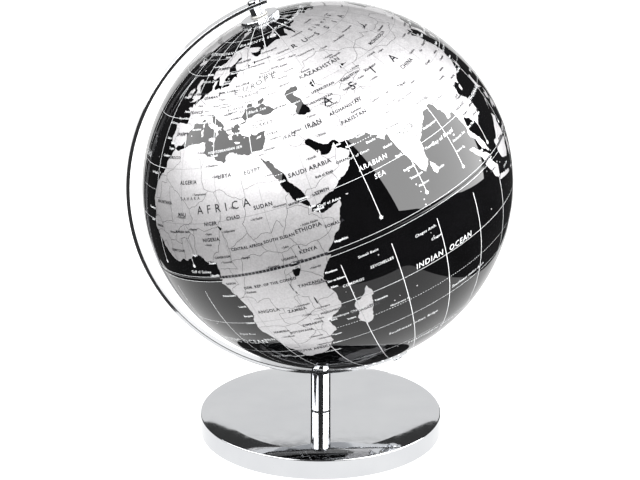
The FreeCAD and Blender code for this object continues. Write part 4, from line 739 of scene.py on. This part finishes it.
def chrome_material():
    """Bright plating of the half ring, the stem and the foot."""
    made = Material("chrome_plate", Metallic=1.0)
    made.colours(made.noise(35), (0.3, (0.66, 0.67, 0.69)), (0.7, (0.71, 0.72, 0.735)))
    made.vary("Roughness", 0.025, 0.065, made.noise(140, 6))
    made.bump(made.noise(260, 5), 0.000003)
    return made.data


def plated_steel_material():
    """Duller plating of the small steel parts."""
    made = Material("plated_steel", Metallic=1.0)
    made.colours(made.noise(180, 4), (0.3, (0.50, 0.51, 0.53)), (0.7, (0.60, 0.61, 0.62)))
    made.vary("Roughness", 0.14, 0.26, made.noise(700, 5))
    made.bump(made.noise(2500, 4), 0.000006)
    return made.data


def cast_weight_material():
    """Rough cast iron of the hidden weight."""
    made = Material("cast_iron", Metallic=0.7)
    made.colours(made.noise(120, 5), (0.3, (0.030, 0.029, 0.028)), (0.7, (0.075, 0.070, 0.066)))
    made.vary("Roughness", 0.55, 0.85, made.noise(600, 5))
    made.bump(made.noise(900, 6), 0.00025)
    return made.data


def felt_material():
    """Black felt under the foot."""
    made = Material("black_felt", Sheen_Weight=0.6, Sheen_Roughness=0.4)
    made.colours(made.noise(1400, 5), (0.3, (0.008, 0.008, 0.009)), (0.7, (0.030, 0.030, 0.033)))
    made.vary("Roughness", 0.85, 1.0, made.noise(400))
    made.bump(made.noise(2600, 6), 0.0003)
    return made.data


def plastic_material(name, dark, light):
    """Moulded plastic with a fine grain."""
    made = Material(name)
    made.colours(made.noise(300, 3), (0.3, dark), (0.7, light))
    made.vary("Roughness", 0.34, 0.48, made.noise(900, 4))
    made.bump(made.noise(4000, 3), 0.00001)
    return made.data


# ---- the ball ------------------------------------------------------------------------------
def arc(radius, start, end, steps):
    """Places of (radius, height) along an arc about the cap's centre."""
    lifts = [start + (end - start) * i / steps for i in range(steps + 1)]
    return [(radius * cos(lift), radius * sin(lift)) for lift in lifts]


def half_profile():
    """The cross-section of one half shell, from the seam outside, over the pole and back inside."""
    outside = CAP_RADIUS - SHELL_DEPTH
    inside = CAP_RADIUS - SHELL_WALL
    rounded_rim = []
    for i in range(SEAM_STEPS + 1):
        turn = radians(90 * i / SEAM_STEPS)
        rounded_rim.append((outside - SEAM_ROUND * (1 - sin(turn)),
                            CAP_OFFSET + SEAM_ROUND * (1 - cos(turn))))
    rim = asin((CAP_OFFSET + SEAM_ROUND) / outside)
    outer_top = pi / 2 - asin(SHELL_HOLE / outside)
    inner_top = pi / 2 - asin(SHELL_HOLE / inside)
    inner_rim = asin(CAP_OFFSET / inside)
    outer = arc(outside, rim, outer_top, SHELL_STEPS)[1:]
    inner = arc(inside, inner_top, inner_rim, SHELL_STEPS // 2)
    return rounded_rim + outer + inner


def sea_shells():
    """Two gloss black half shells, closed, with a fine rounded seam between them."""
    profile = half_profile()
    rows = len(profile)
    points = []
    faces = []
    for half in HALVES:
        first = len(points)
        for radius, height in profile:
            for k in range(SHELL_AROUND):
                turn = 2 * pi * k / SHELL_AROUND
                level = cos(turn) * FRONT + sin(turn) * EAST
                points.append(CENTRE + radius * level + half * (height - CAP_OFFSET) * AXIS)
        for i in range(rows):
            row = first + i * SHELL_AROUND
            next_row = first + (i + 1) % rows * SHELL_AROUND
            for k in range(SHELL_AROUND):
                beside = (k + 1) % SHELL_AROUND
                face = (row + k, row + beside, next_row + beside, next_row + k)
                faces.append(outward(face, half))
    mesh = bpy.data.meshes.new("sea_shells")
    mesh.from_pydata(points, [], faces)
    mesh.shade_smooth()
    mesh.set_sharp_from_angle(angle=radians(SHELL_SHARP))
    shells = map_piece("sea_shells", mesh, sea_material())
    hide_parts("north_hemisphere", "south_hemisphere")


# ---- the land ------------------------------------------------------------------------------
def circle(radius, count):
    """Evenly spaced flat spots on a circle about the pole."""
    turns = [2 * pi * i / count for i in range(count)]
    return [(radius * cos(turn), radius * sin(turn)) for turn in turns]


def flat_spot(place, half):
    """A place in the flat plan of one half: as far from the middle as it is from the pole."""
    high, turn = shown(*place, half)
    out = 90 - half * high
    return out * cos(radians(turn)), out * sin(radians(turn))


def flat_outlines(rings, half):
    """The rings that reach into one half, drawn in its flat plan."""
    outlines = [[flat_spot(place, half) for place in ring] for ring in rings]
    return [outline for outline in outlines if min(hypot(*spot) for spot in outline) < 90]


def covered(spots, outline):
    """Whether each of the flat spots lies inside a closed outline."""
    x, y = spots[:, :1], spots[:, 1:]
    ring = np.array(outline)
    after = np.roll(ring, -1, axis=0)
    crosses = (ring[:, 1] > y) != (after[:, 1] > y)
    rise = np.where(after[:, 1] == ring[:, 1], 1.0, after[:, 1] - ring[:, 1])
    where = ring[:, 0] + (after[:, 0] - ring[:, 0]) * (y - ring[:, 1]) / rise
    return (crosses & (x < where)).sum(axis=1) % 2 == 1


def cut_plan(outlines):
    """The flat plan of one half cut into small triangles, with edges along the outlines."""
    spots = []
    edges = []
    for loop in outlines + [circle(90, RIM_POINTS)]:
        first = len(spots)
        count = len(loop)
        spots += loop
        edges += [(first + i, first + (i + 1) % count) for i in range(count)]
    for ring in range(1, LAND_RINGS):
        radius = 90 * ring / LAND_RINGS
        spots += circle(radius, max(RING_LEAST, round(RING_DENSITY * radius)))
    flat = [Vector(spot) for spot in spots]
    cut = geometry.delaunay_2d_cdt(flat, edges, [], 0, CUT_TOLERANCE, False)
    return cut[0], cut[2]


def add_land(sheet, half, coasts, lakes):
    """The land of one half, cut into small triangles that follow the ball."""
    shores = flat_outlines(coasts, half)
    banks = flat_outlines(lakes, half)
    corners, faces = cut_plan(shores + banks)
    middles = np.array([[sum(corners[i][k] for i in face) / 3 for k in (0, 1)] for face in faces])
    is_land = np.zeros(len(faces), bool)
    for outline in shores:
        is_land |= covered(middles, outline)
    for outline in banks:
        is_land &= ~covered(middles, outline)
    is_land &= np.hypot(middles[:, 0], middles[:, 1]) < 90
    order = {}
    land = []
    for face, keep in zip(faces, is_land):
        if keep:
            land.append(outward([order.setdefault(i, len(order)) for i in face], half))
    spots = []
    for i in order:
        x, y = corners[i]
        out = min(hypot(x, y), 90)
        spots.append(ball_point(half * (90 - out), degrees(atan2(y, x)), half, LAND_DEPTH))
    sheet.add(spots, land)


# ---- lines, dots and words -------------------------------------------------------------------
def add_strip(sheet, run, width):
    """One unbroken thin line through spots of (point, normal)."""
    last = len(run) - 1
    strip = []
    for i, (point, normal) in enumerate(run):
        ahead = run[min(i + 1, last)][0] - run[max(i - 1, 0)][0]
        side = ahead.cross(normal).normalized() * width / 2
        strip += [(point - side, normal), (point + side, normal)]
    sheet.add(strip, [(2 * i, 2 * i + 1, 2 * i + 3, 2 * i + 2) for i in range(last)])


def add_ribbon(sheet, path, half, width, depth, keep=None):
    """A thin printed line through places of (high, turn) on one half, where keep allows it."""
    runs = [[]]
    for high, turn in path:
        spot = ball_point(high, turn, half, depth)
        if half * high >= 0 and (keep is None or keep(spot[0])):
            runs[-1].append(spot)
        else:
            runs.append([])
    for run in runs:
        if len(run) > 1:
            add_strip(sheet, run, width)


def add_dot(sheet, latitude, longitude, radius, depth, points=8, waist=1.0):
    """A small round dot, or a star when waist is below 1."""
    half = half_of(latitude, longitude)
    centre, normal = ball_point(*shown(latitude, longitude, half), half, depth)
    east = AXIS.cross(normal).normalized()
    north = normal.cross(east)
    ring = []
    for i in range(points):
        reach = radius * (waist if i % 2 else 1.0)
        angle = 2 * pi * i / points
        ring.append((centre + reach * (cos(angle) * east + sin(angle) * north), normal))
    sheet.add(ring, [tuple(range(points))])


def line_places(start, end):
    """Places along one grid line, from start to end, both (latitude, longitude)."""
    north = end[0] - start[0]
    east = end[1] - start[1]
    count = max(2, round(max(abs(north), abs(east)) / LINE_STEP))
    return [(start[0] + north * i / count, start[1] + east * i / count) for i in range(count + 1)]


def meridians():
    """The north-south grid lines, which stop short of the equator and the poles."""
    lines = []
    for longitude in range(-180, 180, GRID_STEP):
        top = MERIDIAN_TOP if longitude % (3 * GRID_STEP) else LONG_MERIDIAN_TOP
        for side in HALVES:
            lines.append(line_places((side * GRID_GAP, longitude), (side * top, longitude)))
    return lines


def parallel(latitude):
    """One grid line all the way round."""
    return line_places((latitude, -180), (latitude, 180))


def parallels():
    """The east-west grid lines, apart from the equator."""
    return [parallel(side * latitude) for latitude in range(GRID_STEP, 90, GRID_STEP) for side in HALVES]


def dashes(latitude):
    """A broken line along one parallel."""
    lines = []
    longitude = -180.0
    while longitude < 180:
        lines.append([(latitude, longitude), (latitude, longitude + DASH)])
        longitude += DASH + DASH_GAP
    return lines


def add_lines(sheet, lines, width, depth, keep=None):
    """The same lines on both halves, each half with its own placing."""
    for line in lines:
        for half in HALVES:
            add_ribbon(sheet, [shown(*place, half) for place in line], half, width, depth, keep)


def add_words(sheet, words, latitude, longitude, size, depth, align="CENTER", shift=0.0, **style):
    """Words along a parallel of the ball. style: bold, slant and spacing of the letters."""
    font = bpy.data.curves.new("words", "FONT")
    font.body = words
    font.size = size * FONT_SCALE
    font.align_x = align
    font.align_y = "CENTER"
    font.resolution_u = 2
    font.offset = style["bold"]
    font.shear = style.get("slant", 0.0)
    font.space_character = style.get("spacing", 1.0)
    holder = bpy.data.objects.new("words", font)
    flat = bpy.data.meshes.new_from_object(holder)
    half = half_of(latitude, longitude)
    high, turn = shown(latitude, longitude, half)
    per_metre = degrees(1 / CAP_RADIUS)
    spots = []
    for corner in flat.vertices:
        across = (corner.co.x + shift) * per_metre / cos(radians(high))
        spots.append(ball_point(high + corner.co.y * per_metre, turn + across, half, depth))
    sheet.add(spots, [tuple(face.vertices) for face in flat.polygons])
    bpy.data.objects.remove(holder)
    bpy.data.meshes.remove(flat)
    bpy.data.curves.remove(font)


# ---- the printed layers of the map -----------------------------------------------------------
def print_land(chance):
    """The silver land and islets. Gives back a test of whether a point lies over them."""
    coasts = [crinkled_ring(pairs(text), chance) for text in COASTS.values()]
    lakes = [crinkled_ring(pairs(text), chance) for text in LAKES.values()]
    land = Sheet()
    for half in HALVES:
        add_land(land, half, coasts, lakes)
    for latitude, longitude in pairs(ISLETS):
        add_dot(land, latitude, longitude, chance.uniform(*ISLET_RADII), LAND_DEPTH, ISLET_POINTS)
    land.piece("land", land_material())
    tree = BVHTree.FromPolygons(land.points, land.faces)

    def over_land(point):
        return tree.find_nearest(point, LAND_MARGIN)[0] is not None

    return over_land


def print_sea_grid(ink):
    """The white grid, dashed circles and equator, with a star at each northern meridian's foot."""
    sea_grid = Sheet()
    add_lines(sea_grid, meridians(), MERIDIAN_WIDTH, SEA_LINE_DEPTH)
    add_lines(sea_grid, parallels(), PARALLEL_WIDTH, SEA_LINE_DEPTH)
    for latitude in (TROPIC, -TROPIC, POLAR_CIRCLE, -POLAR_CIRCLE):
        add_lines(sea_grid, dashes(latitude), DASH_WIDTH, SEA_LINE_DEPTH)
    add_lines(sea_grid, [parallel(0)], EQUATOR_WIDTH, SEA_LINE_DEPTH)
    for longitude in range(-180, 180, GRID_STEP):
        add_dot(sea_grid, GRID_GAP, longitude, STAR_RADIUS, SEA_LINE_DEPTH, STAR_POINTS, STAR_WAIST)
    sea_grid.piece("sea_grid", ink)


def print_land_grid(ink, over_land):
    """The fine grid over the land."""
    land_grid = Sheet()
    add_lines(land_grid, meridians() + parallels(), LAND_GRID_WIDTH, LAND_LINE_DEPTH, over_land)
    land_grid.piece("land_grid", ink)


def print_borders(ink, over_land, chance):
    """The borders, and the broken bar along the equator over land."""
    borders = Sheet()
    for text in BORDERS.split(";"):
        places = pairs(text)
        line = [places[0]]
        for start, end in zip(places, places[1:]):
            line += crinkled(start, end, chance, BORDER_STEP, BORDER_ROUGH)[1:] + [end]
        add_lines(borders, [line], BORDER_WIDTH, LAND_LINE_DEPTH, over_land)
    for longitude in np.arange(-180, 180, EQUATOR_RUNG):
        rung = [(EQUATOR_BAR_HIGH, longitude + part * EQUATOR_RUNG) for part in RUNG_PARTS]
        add_ribbon(borders, rung, NORTH_HALF, EQUATOR_BAR_WIDTH, LAND_LINE_DEPTH, over_land)
    borders.piece("borders", ink)


def print_words(sea_ink, land_ink):
    """The names of seas, lands and cities, and a dot for each city."""
    on_sea = Sheet()
    for name, (latitude, longitude, size) in named_places(SEA_NAMES, ";", 3):
        add_words(on_sea, name, latitude, longitude, size / 1000, SEA_WORD_DEPTH,
                  bold=SEA_BOLD, slant=SEA_SLANT, spacing=NAME_SPACING)
    on_land = Sheet()
    for name, (latitude, longitude, size) in named_places(LAND_NAMES, ";", 3):
        bold = WIDE_NAME_BOLD if name[1:2] == " " else LAND_BOLD
        add_words(on_land, name, latitude, longitude, size / 1000, LAND_WORD_DEPTH,
                  bold=bold, spacing=NAME_SPACING)
    for text, sheet, depth, align, step in (
            (INLAND_CITIES, on_land, LAND_WORD_DEPTH, "LEFT", INLAND_STEP),
            (SHORE_CITIES, on_sea, SEA_WORD_DEPTH, "LEFT", SHORE_STEP),
            (WEST_SHORE_CITIES, on_sea, SEA_WORD_DEPTH, "RIGHT", -SHORE_STEP)):
        for name, place in named_places(text, ",", 2):
            add_words(sheet, name, *place, CITY_SIZE, depth, align, step, bold=CITY_BOLD)
            add_dot(on_land, *place, CITY_DOT, LAND_WORD_DEPTH)
    on_sea.piece("words_on_sea", sea_ink)
    on_land.piece("words_on_land", land_ink)


def print_map():
    """Every printed layer of the map, each as one piece."""
    chance = random.Random(MAP_SEED)
    white = ink_material("white_ink", (0.62, 0.63, 0.64), (0.78, 0.79, 0.80))
    dark = ink_material("dark_ink", (0.010, 0.010, 0.012), (0.028, 0.028, 0.031))
    grey = ink_material("grey_ink", (0.10, 0.10, 0.11), (0.17, 0.17, 0.18))
    over_land = print_land(chance)
    print_sea_grid(white)
    print_land_grid(grey, over_land)
    print_borders(dark, over_land, chance)
    print_words(white, dark)


# ---- the stand -------------------------------------------------------------------------------
def dress_frame():
    """Give every CAD node that stays its own material."""
    finishes = {
        "chrome": chrome_material(),
        "plated_steel": plated_steel_material(),
        "cast_weight": cast_weight_material(),
        "felt_pad": felt_material(),
        "black_nylon": plastic_material("black_nylon", (0.008, 0.008, 0.009), (0.022, 0.022, 0.024)),
        "white_nylon": plastic_material("white_nylon", (0.62, 0.61, 0.58), (0.75, 0.74, 0.71)),
        "ring_plastic": plastic_material("ring_plastic", (0.20, 0.20, 0.21), (0.28, 0.28, 0.29)),
    }
    slots = {part["node"]: part["material_slot"] for part in frame["record"]["subparts"]}
    for name, node in frame["nodes"].items():
        if slots[name] in finishes:
            node.data.materials.clear()
            node.data.materials.append(finishes[slots[name]])
            node.data.shade_smooth()
            node.data.set_sharp_from_angle(angle=radians(STAND_SHARP))


# ---- camera, stage and light -----------------------------------------------------------------
def add_camera():
    """The camera of the reference picture."""
    away = TO_CAMERA @ Vector((0, -cos(radians(CAMERA_DROP)), sin(radians(CAMERA_DROP))))
    lens = bpy.data.cameras.new("camera")
    lens.lens = CAMERA_LENS
    lens.sensor_width = SENSOR_WIDTH
    lens.dof.use_dof = False
    camera = bpy.data.objects.new("camera", lens)
    camera.location = AIM + away * CAMERA_DISTANCE
    camera.rotation_euler = (-away).to_track_quat("-Z", "Y").to_euler()
    bpy.context.collection.objects.link(camera)
    bpy.context.scene.camera = camera


def stage_piece(name, corners, shade, glow):
    """A flat stage surface of one face that glows evenly, as bright paper does."""
    mesh = bpy.data.meshes.new(name)
    mesh.from_pydata([TO_CAMERA @ Vector(corner) for corner in corners], [], [tuple(range(len(corners)))])
    material = bpy.data.materials.new(name)
    material.use_nodes = True
    shader = material.node_tree.nodes["Principled BSDF"]
    shader.inputs["Base Color"].default_value = (shade, shade, shade, 1)
    shader.inputs["Roughness"].default_value = 1.0
    shader.inputs["Specular IOR Level"].default_value = 0.0
    shader.inputs["Emission Color"].default_value = (1, 1, 1, 1)
    shader.inputs["Emission Strength"].default_value = glow
    mesh.materials.append(material)
    piece = bpy.data.objects.new(name, mesh)
    bpy.context.collection.objects.link(piece)
    return piece


def add_floor():
    """The pale floor that the camera sees."""
    corners = [(-FLOOR_REACH, -FLOOR_REACH, FLOOR_LEVEL), (FLOOR_REACH, -FLOOR_REACH, FLOOR_LEVEL),
               (FLOOR_REACH, FLOOR_REACH, FLOOR_LEVEL), (-FLOOR_REACH, FLOOR_REACH, FLOOR_LEVEL)]
    floor = stage_piece("floor", corners, FLOOR_SHADE, FLOOR_GLOW)
    floor.visible_glossy = False


def add_sweep():
    """The white paper under the object, which its gloss reflects."""
    corner = []
    for turn in range(0, 91, SWEEP_ARC_STEP):
        inset = SWEEP_CORNER * (1 - cos(radians(turn)))
        corner.append((inset, SWEEP_FRONT + SWEEP_CORNER * (1 - sin(radians(turn)))))
    outline = [(SWEEP_LEFT + inset, y, SWEEP_LEVEL) for inset, y in corner]
    outline += [(SWEEP_RIGHT - inset, y, SWEEP_LEVEL) for inset, y in reversed(corner)]
    outline += [(SWEEP_RIGHT, SWEEP_FLARE, SWEEP_LEVEL), (BACKDROP_RIGHT, BACKDROP_FAR, SWEEP_LEVEL),
                (BACKDROP_LEFT, BACKDROP_FAR, SWEEP_LEVEL), (SWEEP_LEFT, SWEEP_FLARE, SWEEP_LEVEL)]
    paper = stage_piece("sweep", outline, 0, SWEEP_GLOW)
    paper.visible_camera = False


def add_backdrop():
    """The wide standing backdrop, in a brighter low strip and a darker high one."""
    for bottom, top, glow in ((SWEEP_LEVEL, BACKDROP_STEP, BACKDROP_LOW_GLOW),
                              (BACKDROP_STEP, BACKDROP_TOP, BACKDROP_GLOW)):
        corners = [(BACKDROP_LEFT, BACKDROP_FAR, bottom), (BACKDROP_RIGHT, BACKDROP_FAR, bottom),
                   (BACKDROP_RIGHT, BACKDROP_FAR, top), (BACKDROP_LEFT, BACKDROP_FAR, top)]
        backdrop = stage_piece("backdrop", corners, 0, glow)
        backdrop.visible_camera = False


def add_panel(name, corners, glow):
    """A soft light. Each corner is its turn to the camera's right and its height, seen from the ball."""
    spots = []
    for turn, high in corners:
        turn = radians(turn)
        high = radians(high)
        ray = Vector((sin(turn) * cos(high), -cos(turn) * cos(high), sin(high)))
        spots.append(Vector((0, 0, CENTRE.z)) + ray * PANEL_DISTANCE)
    panel = stage_piece(name, spots, 0, glow)
    panel.visible_camera = False


def add_world():
    """White behind the object, and a dark room for its gloss to reflect."""
    world = bpy.data.worlds.new("studio")
    world.use_nodes = True
    nodes = world.node_tree.nodes
    links = world.node_tree.links
    room = nodes["Background"]
    behind = nodes.new("ShaderNodeBackground")
    for background, glow in ((room, ROOM_GLOW), (behind, BEHIND_GLOW)):
        background.inputs["Color"].default_value = (1, 1, 1, 1)
        background.inputs["Strength"].default_value = glow
    mix = nodes.new("ShaderNodeMixShader")
    links.new(nodes.new("ShaderNodeLightPath").outputs["Is Camera Ray"], mix.inputs["Fac"])
    links.new(room.outputs["Background"], mix.inputs[1])
    links.new(behind.outputs["Background"], mix.inputs[2])
    links.new(mix.outputs["Shader"], nodes["World Output"].inputs["Surface"])
    bpy.context.scene.world = world


sea_shells()
print_map()
dress_frame()
add_camera()
add_floor()
add_sweep()
add_backdrop()
add_panel("right_light", RIGHT_PANEL, RIGHT_PANEL_GLOW)
add_panel("left_light", LEFT_PANEL, LEFT_PANEL_GLOW)
add_world()
bpy.context.scene.view_settings.view_transform = "Standard"
